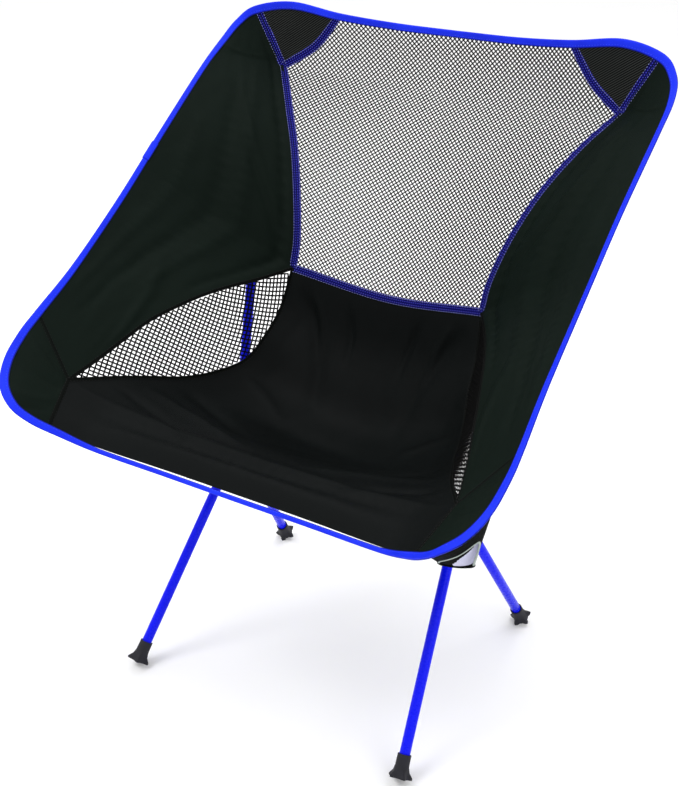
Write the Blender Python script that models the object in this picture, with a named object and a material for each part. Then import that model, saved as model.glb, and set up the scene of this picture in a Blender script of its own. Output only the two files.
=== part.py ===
"""Ultralight backpacking chair: shock-corded tube frame, two moulded hubs and a sewn sling.

Frame of the part: metres, +Z up, the sitter faces -Y and their left hand is at +X.
The floor is Z = 0 and the origin is the middle of the footprint of the whole chair.
Run it with: blender --background --python part.py
"""
import math

import bmesh
import bpy
import numpy as np
from mathutils import Matrix, Vector

# ---------------------------------------------------------------- driving dimensions (metres)
FORE_AFT = 0.01044         # from the hub's middle to the middle of the footprint
RISE = 0.0085              # from the floor to the drawing's zero height

TUBE_R = 0.0055            # 11 mm aluminium tube
TUBE_WALL = 0.0008
FIT_GAP = 0.00035          # running clearance round a tube in its socket
CORD_R = 0.00125           # 2.5 mm elastic shock cord
SIDES = 16                 # flats round every turned piece

# Points below are on the sitter's left, with the hub in the middle and the zero height above.
HUB_AT = (0.139, 0.0, 0.211)         # the point that the five sockets aim at
FRONT_LEG_AT = (0.166, -0.162, 0.0)  # a point low on a front leg's line
REAR_LEG_AT = (0.167, 0.137, 0.0)
SEAT_POLE_END = (0.2350, -0.2180, 0.3320)
BACK_POLE_END = (0.2250, 0.2060, 0.6340)

SOCKET_FLOOR = 0.0145      # distance from the aim point to the bottom of a socket
SOCKET_MOUTH = 0.0460
SOCKET_R_MOUTH = 0.0080
SOCKET_R_ROOT = 0.0092
HUB_CORE_R = 0.0125
COLLAR_LENGTH = 0.0050

FOOT_NECK_R = 0.0070
FOOT_FLARE_R = 0.0088
FOOT_LOBE = 0.0042         # how far a lobe of the star stands out at the bottom
FOOT_LOBES = 5
FOOT_LENGTH = 0.0235
FOOT_BORE_DEPTH = 0.0165
FOOT_WORN = 0.0013         # how much of the lowest lobe is flattened on the floor

TIP_R = 0.0064
TIP_LENGTH = 0.0140
TIP_PLUG = 0.0090          # how far the tip's plug reaches into the tube
PLUG_R = TUBE_R - TUBE_WALL - 0.0003   # what slides inside a tube
FERRULE_HALF = 0.0300
FERRULE_WALL = 0.0010
END_GAP = 0.0004           # between a tube's end and what it meets
BACK_POLE_SPLIT = 0.235    # distance up the back pole where its two tubes meet
LEG_CORD_SPARE = 0.0200    # from the cord's knot to the foot cap
TIP_CORD_SPARE = 0.0100    # from the cord's knot to the pole's tip

CLOTH = 0.0012             # thickness of the woven panels
MESH_CLOTH = 0.0010        # thickness of the mesh panels
BINDING_WIDTH = 0.0080
BINDING_THICK = 0.0026
TAPE_WIDTH = 0.0090
TAPE_THICK = 0.0018
SEAM_GAP = 0.0006          # half of the gap between two panels sewn edge to edge
PIECE_GAP = 0.0005         # from a tape's edge to the panel beside it
BEND_GAP = 0.0036          # from the binding to the panel inside its tight corners
FORK_GAP = 0.0025          # the same where the back mesh turns the corner of the tape

LAP_START = 0.430          # the binding's lapped end, as a share of the half rail
LAP_SHARE = 0.016
LAP_THICK = 0.0009

POCKET_WALL = 0.0010
POCKET_R_END = 0.0082
POCKET_END_GAP = 0.0022    # from the tip of the pole to the outside of the pocket's end
TOP_POCKET_R_MOUTH = 0.0115
FRONT_POCKET_R_MOUTH = 0.0180
FRONT_POCKET_LENGTH = 0.0420
TOP_POCKET_LENGTH = 0.0560

TOP_MID = (0.0, 0.222, 0.6445)
HALF_RAIL = [              # outer edge, from the middle of the top to the middle of the front
    TOP_MID, (0.070, 0.217, 0.6460), (0.133, 0.203, 0.6520), (0.189, 0.193, 0.6605),
    (0.232, 0.182, 0.6535), (0.250, 0.171, 0.6385), (0.257, 0.152, 0.6210),
    (0.258, 0.112, 0.5950), (0.2565, 0.032, 0.5390), (0.2565, -0.042, 0.4840),
    (0.2580, -0.113, 0.4350), (0.2620, -0.165, 0.4030), (0.2630, -0.190, 0.3880),
    (0.2600, -0.216, 0.3700), (0.2490, -0.236, 0.3520), (0.2290, -0.245, 0.3370),
    (0.2100, -0.238, 0.3215), (0.1900, -0.223, 0.3060), (0.1650, -0.210, 0.2930),
    (0.1300, -0.203, 0.2870), (0.0800, -0.200, 0.2850), (0.0, -0.199, 0.2840),
]
SEAM_CROSS = (0.214, -0.179, 0.343)   # where the front corner's seams meet the mesh window
TAPE_FOOT = (0.114, 0.077, 0.400)     # lower corner of the back mesh
TAPE_FORK = (0.197, 0.186, 0.591)     # where the corner tape leaves the side tape
SIDE_TAPE = [TAPE_FOOT, (0.116, 0.088, 0.430), (0.127, 0.105, 0.472), (0.145, 0.128, 0.516),
             (0.170, 0.155, 0.557), TAPE_FORK]
WINDOW_TOP = [SEAM_CROSS, (0.203, -0.139, 0.357), (0.194, -0.111, 0.369), (0.185, -0.083, 0.380),
              (0.174, -0.053, 0.387), (0.162, -0.021, 0.392), (0.149, 0.010, 0.394),
              (0.134, 0.042, 0.395), TAPE_FOOT]
WINDOW_FOOT = [SEAM_CROSS, (0.190, -0.136, 0.334), (0.176, -0.102, 0.324), (0.162, -0.067, 0.313),
               (0.149, -0.028, 0.307), (0.136, 0.010, 0.310), (0.127, 0.036, 0.331),
               (0.121, 0.061, 0.358), TAPE_FOOT]
BACK_FOOT_MID = (0.0, 0.088, 0.385)
FRONT_CORNER = (0.2490, -0.236, 0.3520)
RAIL_LANDMARKS = {"tape": (0.133, 0.203, 0.6520), "fork": (0.230, 0.183, 0.6540),
                  "shoulder": (0.250, 0.171, 0.6385), "side_seam": (0.2620, -0.165, 0.4030),
                  "corner": FRONT_CORNER, "front_seam": (0.1990, -0.230, 0.3130)}


# ---------------------------------------------------------------- scene and materials
for old in list(bpy.data.objects):
    bpy.data.objects.remove(old, do_unlink=True)


def make_material(name, colour, roughness, metallic=0.0):
    material = bpy.data.materials.new(name)
    material.use_nodes = True
    shader = material.node_tree.nodes["Principled BSDF"]
    shader.inputs["Base Color"].default_value = (*colour, 1.0)
    shader.inputs["Roughness"].default_value = roughness
    shader.inputs["Metallic"].default_value = metallic
    return material


FINISHES = {
    "blue_tube": ((0.010, 0.020, 0.620), 0.25, 1.0),
    "hub_plastic": ((0.012, 0.012, 0.014), 0.45, 0.0),
    "foot_rubber": ((0.018, 0.018, 0.025), 0.60, 0.0),
    "tip_plastic": ((0.015, 0.015, 0.018), 0.40, 0.0),
    "ferrule_metal": ((0.60, 0.61, 0.63), 0.30, 1.0),
    "shock_cord": ((0.02, 0.02, 0.02), 0.80, 0.0),
    "green_black_cloth": ((0.008, 0.013, 0.010), 0.75, 0.0),
    "seat_cloth": ((0.006, 0.007, 0.006), 0.60, 0.0),
    "black_mesh": ((0.010, 0.010, 0.010), 0.70, 0.0),
    "dense_mesh": ((0.008, 0.009, 0.008), 0.80, 0.0),
    "pocket_cloth": ((0.010, 0.010, 0.010), 0.70, 0.0),
    "blue_binding": ((0.010, 0.050, 0.800), 0.50, 0.0),
    "navy_tape": ((0.010, 0.010, 0.250), 0.60, 0.0),
}


def new_object(name, bm, finish, smooth_angle=35.0):
    """Turn a bmesh into a named object with a material of its own."""
    bmesh.ops.recalc_face_normals(bm, faces=bm.faces)
    mesh = bpy.data.meshes.new(name)
    bm.to_mesh(mesh)
    bm.free()
    mesh.shade_smooth()
    mesh.set_sharp_from_angle(angle=math.radians(smooth_angle))
    piece = bpy.data.objects.new(name, mesh)
    bpy.context.collection.objects.link(piece)
    colour, roughness, metallic = FINISHES[finish]
    piece.data.materials.append(make_material(f"{name}_{finish}", colour, roughness, metallic))
    return piece


# ---------------------------------------------------------------- curves and surfaces
class Path:
    """A smooth line through a few points, read by its fraction of length."""

    def __init__(self, points, steps=16):
        knots = np.array(points, float)
        first = 2 * knots[0] - knots[1]
        last = 2 * knots[-1] - knots[-2]
        ring = np.vstack([first, knots, last])
        dense = []
        for before, start, end, after in zip(ring, ring[1:], ring[2:], ring[3:]):
            for step in range(steps):
                t = step / steps
                dense.append(0.5 * (2 * start + (end - before) * t
                                    + (2 * before - 5 * start + 4 * end - after) * t ** 2
                                    + (3 * start - before - 3 * end + after) * t ** 3))
        dense.append(knots[-1])
        self.set_points(np.array(dense))

    def set_points(self, points):
        self.points = points
        steps = np.linalg.norm(np.diff(points, axis=0), axis=1)
        self.run = np.concatenate([[0.0], np.cumsum(steps)])
        self.length = self.run[-1]

    def at(self, t):
        where = np.clip(t, 0.0, 1.0) * self.length
        return np.array([np.interp(where, self.run, self.points[:, k]) for k in range(3)])

    def nearest(self, point):
        k = np.linalg.norm(self.points - np.array(point), axis=1).argmin()
        return self.run[k] / self.length

    def part(self, start, end, steps=64):
        """The stretch between two fractions, run in either direction."""
        other = Path.__new__(Path)
        other.set_points(np.array([self.at(t) for t in np.linspace(start, end, steps)]))
        return other

    def mirrored(self):
        other = Path.__new__(Path)
        other.set_points(self.points * np.array([-1.0, 1.0, 1.0]))
        return other

    def reversed(self):
        other = Path.__new__(Path)
        other.set_points(self.points[::-1])
        return other


def joined(*paths):
    """Several lines end to end, and the fraction at each meeting point."""
    whole = Path.__new__(Path)
    points = [paths[0].points]
    for path in paths[1:]:
        points.append(path.points[1:])
    whole.set_points(np.vstack(points))
    lengths = np.cumsum([path.length for path in paths])
    whole.marks = list(lengths[:-1] / lengths[-1])
    return whole


def unit(vector):
    length = np.linalg.norm(vector)
    return vector / length if length > 1e-9 else vector


class Patch:
    """A surface spanned by four lines: low and high run along u, near and far along v."""

    def __init__(self, low, high, near, far, sag=None):
        self.low, self.high, self.near, self.far = low, high, near, far
        self.sag = sag
        self.corners = (low.at(0), low.at(1), high.at(0), high.at(1))

    def at(self, u, v):
        across = (1 - v) * self.low.at(u) + v * self.high.at(u)
        along = (1 - u) * self.near.at(v) + u * self.far.at(v)
        c00, c10, c01, c11 = self.corners
        flat = (1 - u) * (1 - v) * c00 + u * (1 - v) * c10 + (1 - u) * v * c01 + u * v * c11
        point = across + along - flat
        if self.sag:
            point = point + np.array(self.sag(u, v))
        return point

    def slopes(self, u, v, step=0.01):
        u0, u1 = max(u - step, 0.0), min(u + step, 1.0)
        v0, v1 = max(v - step, 0.0), min(v + step, 1.0)
        return self.at(u1, v) - self.at(u0, v), self.at(u, v1) - self.at(u, v0)

    def normal(self, u, v):
        u = min(max(u, 0.03), 0.97)
        v = min(max(v, 0.03), 0.97)
        du, dv = self.slopes(u, v)
        return unit(np.cross(du, dv))

    def inward(self, side, t):
        """Unit direction into the patch, square to one of its sides."""
        u, v = {"low": (t, 0.0), "high": (t, 1.0), "near": (0.0, t), "far": (1.0, t)}[side]
        du, dv = self.slopes(u, v, 0.02)
        along, into = (du, dv) if side in ("low", "high") else (dv, du)
        if side in ("high", "far"):
            into = -into
        along = unit(along)
        return unit(into - along * np.dot(into, along))


def mirror(point):
    return np.array([-point[0], point[1], point[2]])


def line(start, end):
    return Path([start, end])


def shifted(points):
    return [(x, y + FORE_AFT, z + RISE) for x, y, z in points]


rail = Path(shifted(HALF_RAIL))
mark = {name: rail.nearest(shifted([point])[0]) for name, point in RAIL_LANDMARKS.items()}
side_tape = Path(shifted(SIDE_TAPE))
fork_tape = line(side_tape.at(1), rail.at(mark["fork"]))
corner_tape = Path([side_tape.at(1), 0.5 * (side_tape.at(1) + rail.at(mark["tape"]))
                    + np.array([-0.004, 0.003, -0.006]), rail.at(mark["tape"])])
window_top = Path(shifted(WINDOW_TOP))
window_foot = Path(shifted(WINDOW_FOOT))
seam_cross = window_top.at(0)
foot_corner = side_tape.at(0)
back_foot = Path([mirror(foot_corner), shifted([BACK_FOOT_MID])[0], foot_corner])
side_seam = line(seam_cross, rail.at(mark["side_seam"]))
front_seam = line(seam_cross, rail.at(mark["front_seam"]))


def seat_sag(u, v):
    """Sag of the empty seat: a low bowl behind a raised front roll."""
    across = math.sin(math.pi * u) ** 0.8 if 0.0 < u < 1.0 else 0.0
    bowl = -0.034 * math.sin(math.pi * min(max((v - 0.10) / 0.90, 0.0), 1.0)) ** 1.2
    roll = -0.007 * math.exp(-((v - 0.17) / 0.07) ** 2)
    lift = 0.009 * math.exp(-((v - 0.055) / 0.04) ** 2)
    return (0.0, 0.0, across * (bowl + roll + lift))


def back_sag(u, v):
    """The back mesh leans away from the sitter in the middle."""
    return (0.0, 0.012 * math.sin(math.pi * u) * math.sin(math.pi * v), 0.0)


back_side = joined(side_tape, corner_tape)
side_inner = joined(window_top, side_tape, fork_tape)
seat_side = joined(front_seam.reversed(), window_foot)

top_line = joined(rail.part(mark["tape"], 0.0).mirrored(), rail.part(0.0, mark["tape"]))
front_line = joined(rail.part(mark["front_seam"], 1.0).mirrored(),
                    rail.part(1.0, mark["front_seam"]))
fork_middle = 0.5 * (mark["tape"] + mark["fork"])

patches = {
    "back": Patch(back_foot, top_line, back_side.mirrored(), back_side, back_sag),
    "seat": Patch(front_line, back_foot, seat_side.mirrored(), seat_side, seat_sag),
    "side": Patch(side_seam, rail.part(mark["fork"], mark["shoulder"]), side_inner,
                  rail.part(mark["side_seam"], mark["shoulder"])),
    "window": Patch(window_foot, window_top, line(seam_cross, seam_cross + 1e-6),
                    line(foot_corner, foot_corner + 1e-6)),
    "top_corner": Patch(fork_tape, rail.part(mark["tape"], fork_middle), corner_tape,
                        rail.part(mark["fork"], fork_middle)),
    "front_corner": Patch(side_seam, rail.part(mark["front_seam"], mark["corner"]), front_seam,
                          rail.part(mark["side_seam"], mark["corner"])),
}


# ---------------------------------------------------------------- sewn pieces
def skin(rows_front, rows_back, name, finish, flip):
    """Close two grids of points, one for each face, into one thin solid."""
    bm = bmesh.new()
    factor = np.array([-1.0, 1.0, 1.0]) if flip else np.ones(3)
    front = [[bm.verts.new(point * factor) for point in row] for row in rows_front]
    back = [[bm.verts.new(point * factor) for point in row] for row in rows_back]
    rows, columns = len(front), len(front[0])
    for i in range(rows - 1):
        for j in range(columns - 1):
            bm.faces.new((front[i][j], front[i][j + 1], front[i + 1][j + 1], front[i + 1][j]))
            bm.faces.new((back[i][j], back[i + 1][j], back[i + 1][j + 1], back[i][j + 1]))
    for i in range(rows - 1):
        for j in (0, columns - 1):
            bm.faces.new((front[i][j], front[i + 1][j], back[i + 1][j], back[i][j]))
    for j in range(columns - 1):
        for i in (0, rows - 1):
            bm.faces.new((front[i][j], front[i][j + 1], back[i][j + 1], back[i][j]))
    return new_object(name, bm, finish)


def inset_ends(patch, along_u, fixed, start, end):
    """Fractions on one grid line that lie the given distances inside its two ends."""
    def point(t):
        return patch.at(t, fixed) if along_u else patch.at(fixed, t)

    spots = np.linspace(0.0, 1.0, 41)
    cloud = np.array([point(t) for t in spots])
    run = np.concatenate([[0.0], np.cumsum(np.linalg.norm(np.diff(cloud, axis=0), axis=1))])
    cuts = []
    for t, distance in ((0.02, start), (0.98, end)):
        u, v = (t, fixed) if along_u else (fixed, t)
        du, dv = patch.slopes(u, v)
        square = np.linalg.norm(np.cross(unit(du), unit(dv)))
        cuts.append(distance / max(square, 0.35))
    total = run[-1]
    return np.interp(cuts[0], run, spots), np.interp(total - cuts[1], run, spots)


def panel(name, patch, finish, columns, rows, insets, thick, flip=False):
    """A cloth panel: a patch drawn back from its edges and given a thickness."""
    low, high, near, far = insets
    grid = []
    for j in range(rows + 1):
        t = j / rows
        v_start, v_end = inset_ends(patch, False, 0.5, low, high)
        v = v_start + (v_end - v_start) * t
        u_start, u_end = inset_ends(patch, True, v, near, far)
        line_u = [u_start + (u_end - u_start) * i / columns for i in range(columns + 1)]
        row = []
        for u in line_u:
            start, end = inset_ends(patch, False, u, low, high)
            row.append((u, start + (end - start) * t))
        grid.append(row)
    front, back = [], []
    for row in grid:
        front.append([patch.at(u, v) + patch.normal(u, v) * thick / 2 for u, v in row])
        back.append([patch.at(u, v) - patch.normal(u, v) * thick / 2 for u, v in row])
    return skin(front, back, name, finish, flip)


def tape(name, seam, ranges, left, right, finish, steps, flip=False):
    """A folded tape over a seam: half its width lies on the panel at each side."""
    front, back = [], []
    for t in np.linspace(ranges[0], ranges[1], steps + 1):
        middle = seam.at(t)
        to_left = left(t)
        to_right = right(t)
        ahead = unit(seam.at(min(t + 0.01, 1.0)) - seam.at(max(t - 0.01, 0.0)))
        up_left = unit(np.cross(ahead, to_left))
        up_right = unit(np.cross(to_right, ahead))
        up = unit(up_left + up_right)
        half = TAPE_WIDTH / 2
        lift = TAPE_THICK / 2
        front.append([middle + to_left * half + up_left * lift, middle + up * lift,
                      middle + to_right * half + up_right * lift])
        back.append([middle + to_left * half - up_left * lift, middle - up * lift,
                     middle + to_right * half - up_right * lift])
    return skin(front, back, name, finish, flip)


def rail_inward(t):
    """Direction from the sling's outer edge into the cloth, for a fraction of the half rail."""
    spans = [("back", "high", 0.0, mark["tape"], 0.5, 1.0),
             ("top_corner", "high", mark["tape"], fork_middle, 0.0, 1.0),
             ("top_corner", "far", fork_middle, mark["fork"], 1.0, 0.0),
             ("side", "high", mark["fork"], mark["shoulder"], 0.0, 1.0),
             ("side", "far", mark["shoulder"], mark["side_seam"], 1.0, 0.0),
             ("front_corner", "far", mark["side_seam"], mark["corner"], 0.0, 1.0),
             ("front_corner", "high", mark["corner"], mark["front_seam"], 1.0, 0.0),
             ("seat", "low", mark["front_seam"], 1.0, 1.0, 0.5)]
    for patch, side, start, end, first, last in spans:
        if start <= t <= end:
            local = first + (last - first) * (t - start) / (end - start)
            return patches[patch].inward(side, min(max(local, 0.04), 0.96))
    raise ValueError("the rail runs from 0 to 1")


def smoothed(directions, passes):
    for _ in range(passes):
        directions = directions + np.roll(directions, 1, axis=0) + np.roll(directions, -1, axis=0)
        directions = directions / np.linalg.norm(directions, axis=1)[:, None]
    return directions


def binding_loop():
    """Centre points and inward directions of the edge binding, all the way round."""
    half = np.linspace(0.0, 1.0, 57)
    right_points = [rail.at(t) for t in half]
    right_in = [rail_inward(t) for t in half]
    points = right_points + [mirror(p) for p in right_points[-2:0:-1]]
    inward = right_in + [mirror(d) for d in right_in[-2:0:-1]]
    return np.array(points), smoothed(np.array(inward), 3)


def edge_binding():
    points, inward = binding_loop()
    bm = bmesh.new()
    rings = []
    count = len(points)
    for k in range(count):
        ahead = unit(points[(k + 1) % count] - points[k - 1])
        into = unit(inward[k] - ahead * np.dot(inward[k], ahead))
        up = unit(np.cross(ahead, into))
        ring = []
        for depth, lift in ((0.0, -0.5), (0.0, 0.5), (1.0, 0.5), (1.0, -0.5)):
            point = points[k] + into * BINDING_WIDTH * depth + up * BINDING_THICK * lift
            ring.append(bm.verts.new(point))
        rings.append(ring)
    for k in range(count):
        first, second = rings[k], rings[(k + 1) % count]
        for i in range(4):
            j = (i + 1) % 4
            bm.faces.new((first[i], first[j], second[j], second[i]))
    return new_object("edge_binding", bm, "blue_binding")


def binding_overlap():
    """The short lapped end of the binding, on the outside of the sitter's right edge."""
    bm = bmesh.new()
    rings = []
    for t in np.linspace(LAP_START, LAP_START + LAP_SHARE, 5):
        ahead = unit(rail.at(t + 0.01) - rail.at(t - 0.01))
        into = rail_inward(t)
        up = unit(np.cross(ahead, into))
        base = rail.at(t) + up * (BINDING_THICK / 2 + PIECE_GAP)
        ring = []
        near, far = PIECE_GAP, BINDING_WIDTH - PIECE_GAP
        for depth, lift in ((near, 0.0), (near, LAP_THICK), (far, LAP_THICK), (far, 0.0)):
            ring.append(bm.verts.new(mirror(base + into * depth + up * lift)))
        rings.append(ring)
    for first, second in zip(rings, rings[1:]):
        for i in range(4):
            j = (i + 1) % 4
            bm.faces.new((first[i], first[j], second[j], second[i]))
    bm.faces.new(rings[0])
    bm.faces.new(rings[-1])
    return new_object("binding_overlap", bm, "blue_binding")


# ---------------------------------------------------------------- turned pieces
def frame_of(axis):
    """Rotation that takes +Z to the axis."""
    return Vector((0.0, 0.0, 1.0)).rotation_difference(Vector(axis)).to_matrix().to_4x4()


def turned(name, start, axis, profile, finish, closed_ends=True, sides=SIDES):
    """Spin a profile of (distance along the axis, radius) about the axis and place it."""
    bm = bmesh.new()
    rings = []
    for along, radius in profile:
        if radius <= 0.0:
            rings.append([bm.verts.new((0.0, 0.0, along))])
            continue
        ring = []
        for k in range(sides):
            angle = 2 * math.pi * k / sides
            ring.append(bm.verts.new((radius * math.cos(angle), radius * math.sin(angle), along)))
        rings.append(ring)
    pairs = list(zip(rings, rings[1:]))
    if not closed_ends:
        pairs.append((rings[-1], rings[0]))
    for first, second in pairs:
        for k in range(sides):
            j = (k + 1) % sides
            if len(first) == 1:
                bm.faces.new((first[0], second[j], second[k]))
            elif len(second) == 1:
                bm.faces.new((first[k], first[j], second[0]))
            else:
                bm.faces.new((first[k], first[j], second[j], second[k]))
    if closed_ends:
        for ring in (rings[0], rings[-1]):
            if len(ring) > 1:
                bm.faces.new(ring)
    piece = new_object(name, bm, finish)
    piece.matrix_world = Matrix.Translation(Vector(start)) @ frame_of(axis)
    return piece


def pipe(name, start, axis, low, high, finish, radius=TUBE_R, wall=TUBE_WALL):
    """A plain hollow tube between two distances along an axis."""
    profile = [(low, radius), (high, radius), (high, radius - wall), (low, radius - wall)]
    return turned(name, start, axis, profile, finish, closed_ends=False)


def rod(name, start, axis, low, high, finish, radius):
    return turned(name, start, axis, [(low, radius), (high, radius)], finish, sides=10)


# ---------------------------------------------------------------- frame lines
def hub_point(sign):
    return np.array(shifted([HUB_AT])[0]) * np.array([sign, 1.0, 1.0])


def towards(sign, target):
    goal = np.array(shifted([target])[0]) * np.array([sign, 1.0, 1.0])
    reach = goal - hub_point(sign)
    return unit(reach), np.linalg.norm(reach)


def hub(name, sign):
    """Moulded hub: five sockets that meet in a rounded core."""
    aims = [towards(sign, FRONT_LEG_AT)[0], towards(sign, REAR_LEG_AT)[0],
            towards(sign, SEAT_POLE_END)[0], towards(sign, BACK_POLE_END)[0],
            np.array([-sign, 0.0, 0.0])]
    core = turned(name, hub_point(sign), (1.0, 0.0, 0.0),
                  [(-0.0105, 0.0), (-0.0105, HUB_CORE_R * 0.78), (-0.0080, HUB_CORE_R),
                   (0.0080, HUB_CORE_R), (0.0105, HUB_CORE_R * 0.78), (0.0105, 0.0)],
                  "hub_plastic", sides=20)
    for number, aim in enumerate(aims):
        lip = SOCKET_MOUTH - COLLAR_LENGTH
        body = turned(f"{name}_add_{number}", hub_point(sign), aim,
                      [(0.0, SOCKET_R_ROOT), (0.020, SOCKET_R_ROOT), (lip, SOCKET_R_MOUTH),
                       (lip + 0.0008, SOCKET_R_MOUTH + 0.0008),
                       (SOCKET_MOUTH - 0.0008, SOCKET_R_MOUTH + 0.0008),
                       (SOCKET_MOUTH, SOCKET_R_MOUTH)], "hub_plastic")
        add_boolean(core, body, "UNION")
    for number, aim in enumerate(aims):
        bore_r = TUBE_R + FIT_GAP
        bore = turned(f"{name}_cut_{number}", hub_point(sign), aim,
                      [(SOCKET_FLOOR, bore_r), (SOCKET_MOUTH + 0.004, bore_r)], "hub_plastic")
        add_boolean(core, bore, "DIFFERENCE")
    return core


def add_boolean(target, tool, operation):
    tool.hide_render = True
    tool.display_type = "WIRE"
    cut = target.modifiers.new(tool.name, "BOOLEAN")
    cut.operation = operation
    cut.solver = "EXACT"
    cut.object = tool


def star_radius(angle, share):
    """Outline of the foot: round at the neck, a five-lobed star at the bottom."""
    lobe = max(math.cos(FOOT_LOBES * angle), 0.0) ** 0.8
    neck = FOOT_NECK_R + (FOOT_FLARE_R - FOOT_NECK_R) * share
    return neck + FOOT_LOBE * share ** 1.6 * lobe


def foot_cap(name, sign, target):
    """Star-shaped foot pushed on to the leg, its lowest lobe worn flat on the floor."""
    aim, _ = towards(sign, target)
    tilt = math.acos(-aim[2])
    reach = (FOOT_FLARE_R + FOOT_LOBE) * math.sin(tilt) - FOOT_WORN
    end = (hub_point(sign)[2] - reach) / -aim[2]
    top = end - FOOT_LENGTH
    around = 30
    turn = frame_of(aim)
    down = turn.to_3x3().inverted() @ Vector((0.0, 0.0, -1.0))
    spin = math.atan2(down.y, down.x)
    bm = bmesh.new()
    outer = [(0.0, 0.0), (0.20, 0.0), (0.50, 0.10), (0.72, 0.45), (0.86, 0.86), (0.93, 1.0),
             (1.0, 0.97)]
    rings = []
    for along, share in outer:
        ring = []
        for k in range(around):
            angle = 2 * math.pi * k / around
            radius = star_radius(angle, share)
            x = radius * math.cos(angle + spin)
            y = radius * math.sin(angle + spin)
            ring.append(bm.verts.new((x, y, top + along * FOOT_LENGTH)))
        rings.append(ring)
    inner = []
    for along in (FOOT_BORE_DEPTH, 0.0):
        ring = []
        for k in range(around):
            angle = 2 * math.pi * k / around + spin
            radius = TUBE_R + FIT_GAP
            ring.append(bm.verts.new((radius * math.cos(angle), radius * math.sin(angle),
                                      top + along)))
        inner.append(ring)
    for first, second in zip(rings, rings[1:]):
        for k in range(around):
            j = (k + 1) % around
            bm.faces.new((first[k], first[j], second[j], second[k]))
    for k in range(around):
        j = (k + 1) % around
        bm.faces.new((inner[0][k], inner[0][j], inner[1][j], inner[1][k]))
        bm.faces.new((inner[1][k], inner[1][j], rings[0][j], rings[0][k]))
    bm.faces.new(rings[-1])
    bm.faces.new(inner[0])
    bmesh.ops.transform(bm, matrix=Matrix.Translation(Vector(hub_point(sign))) @ turn,
                        verts=bm.verts)
    bmesh.ops.recalc_face_normals(bm, faces=bm.faces)
    everything = bm.verts[:] + bm.edges[:] + bm.faces[:]
    bmesh.ops.bisect_plane(bm, geom=everything, dist=1e-6, plane_co=(0.0, 0.0, 0.0),
                           plane_no=(0.0, 0.0, -1.0), clear_outer=True)
    rim = [edge for edge in bm.edges if edge.is_boundary]
    bmesh.ops.holes_fill(bm, edges=rim, sides=0)
    piece = new_object(name, bm, "foot_rubber")
    return piece, top + FOOT_BORE_DEPTH


def leg(corner, sign, target):
    """One leg: tube, foot cap and the elastic cord that holds it in its socket."""
    aim, _ = towards(sign, target)
    _, bore_end = foot_cap(f"foot_{corner}", sign, target)
    pipe(f"leg_{corner}", hub_point(sign), aim, SOCKET_FLOOR + FIT_GAP, bore_end - END_GAP,
         "blue_tube")
    rod(f"leg_cord_{corner}", hub_point(sign), aim, SOCKET_FLOOR + FIT_GAP,
        bore_end - LEG_CORD_SPARE, "shock_cord", CORD_R)


def pole_tip(name, sign, aim, reach):
    """Round plug on the end of a pole that sits in the sling's corner pocket."""
    start = reach - TIP_LENGTH
    profile = [(start - TIP_PLUG, 0.0), (start - TIP_PLUG, PLUG_R), (start, PLUG_R),
               (start, TIP_R),
               (reach - 0.0040, TIP_R), (reach - 0.0015, TIP_R * 0.86), (reach, TIP_R * 0.50),
               (reach, 0.0)]
    return turned(name, hub_point(sign), aim, profile, "tip_plastic")


def pocket(name, sign, aim, reach, length, mouth):
    """Sewn sleeve round a pole's tip, open towards the hub."""
    low = reach - length
    end = reach + POCKET_END_GAP
    wall = POCKET_WALL
    profile = [(low, mouth), (reach - 0.016, POCKET_R_END), (reach - 0.003, POCKET_R_END),
               (end, POCKET_R_END * 0.55), (end, 0.0)]
    inside = [(end - wall, 0.0), (end - wall, (POCKET_R_END - wall) * 0.52),
              (reach - 0.003, POCKET_R_END - wall), (reach - 0.016, POCKET_R_END - wall),
              (low, mouth - wall)]
    bm = bmesh.new()
    rings = []
    for along, radius in profile + inside:
        if radius == 0.0:
            rings.append([bm.verts.new((0.0, 0.0, along))])
            continue
        ring = []
        for k in range(SIDES):
            angle = 2 * math.pi * k / SIDES
            ring.append(bm.verts.new((radius * math.cos(angle), radius * math.sin(angle), along)))
        rings.append(ring)
    pairs = list(zip(rings, rings[1:])) + [(rings[-1], rings[0])]
    for first, second in pairs:
        for k in range(SIDES):
            j = (k + 1) % SIDES
            if len(first) == 1 and len(second) == 1:
                continue
            if len(first) == 1:
                bm.faces.new((first[0], second[j], second[k]))
            elif len(second) == 1:
                bm.faces.new((first[k], first[j], second[0]))
            else:
                bm.faces.new((first[k], first[j], second[j], second[k]))
    piece = new_object(name, bm, "pocket_cloth")
    piece.matrix_world = Matrix.Translation(Vector(hub_point(sign))) @ frame_of(aim)
    return piece


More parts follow.
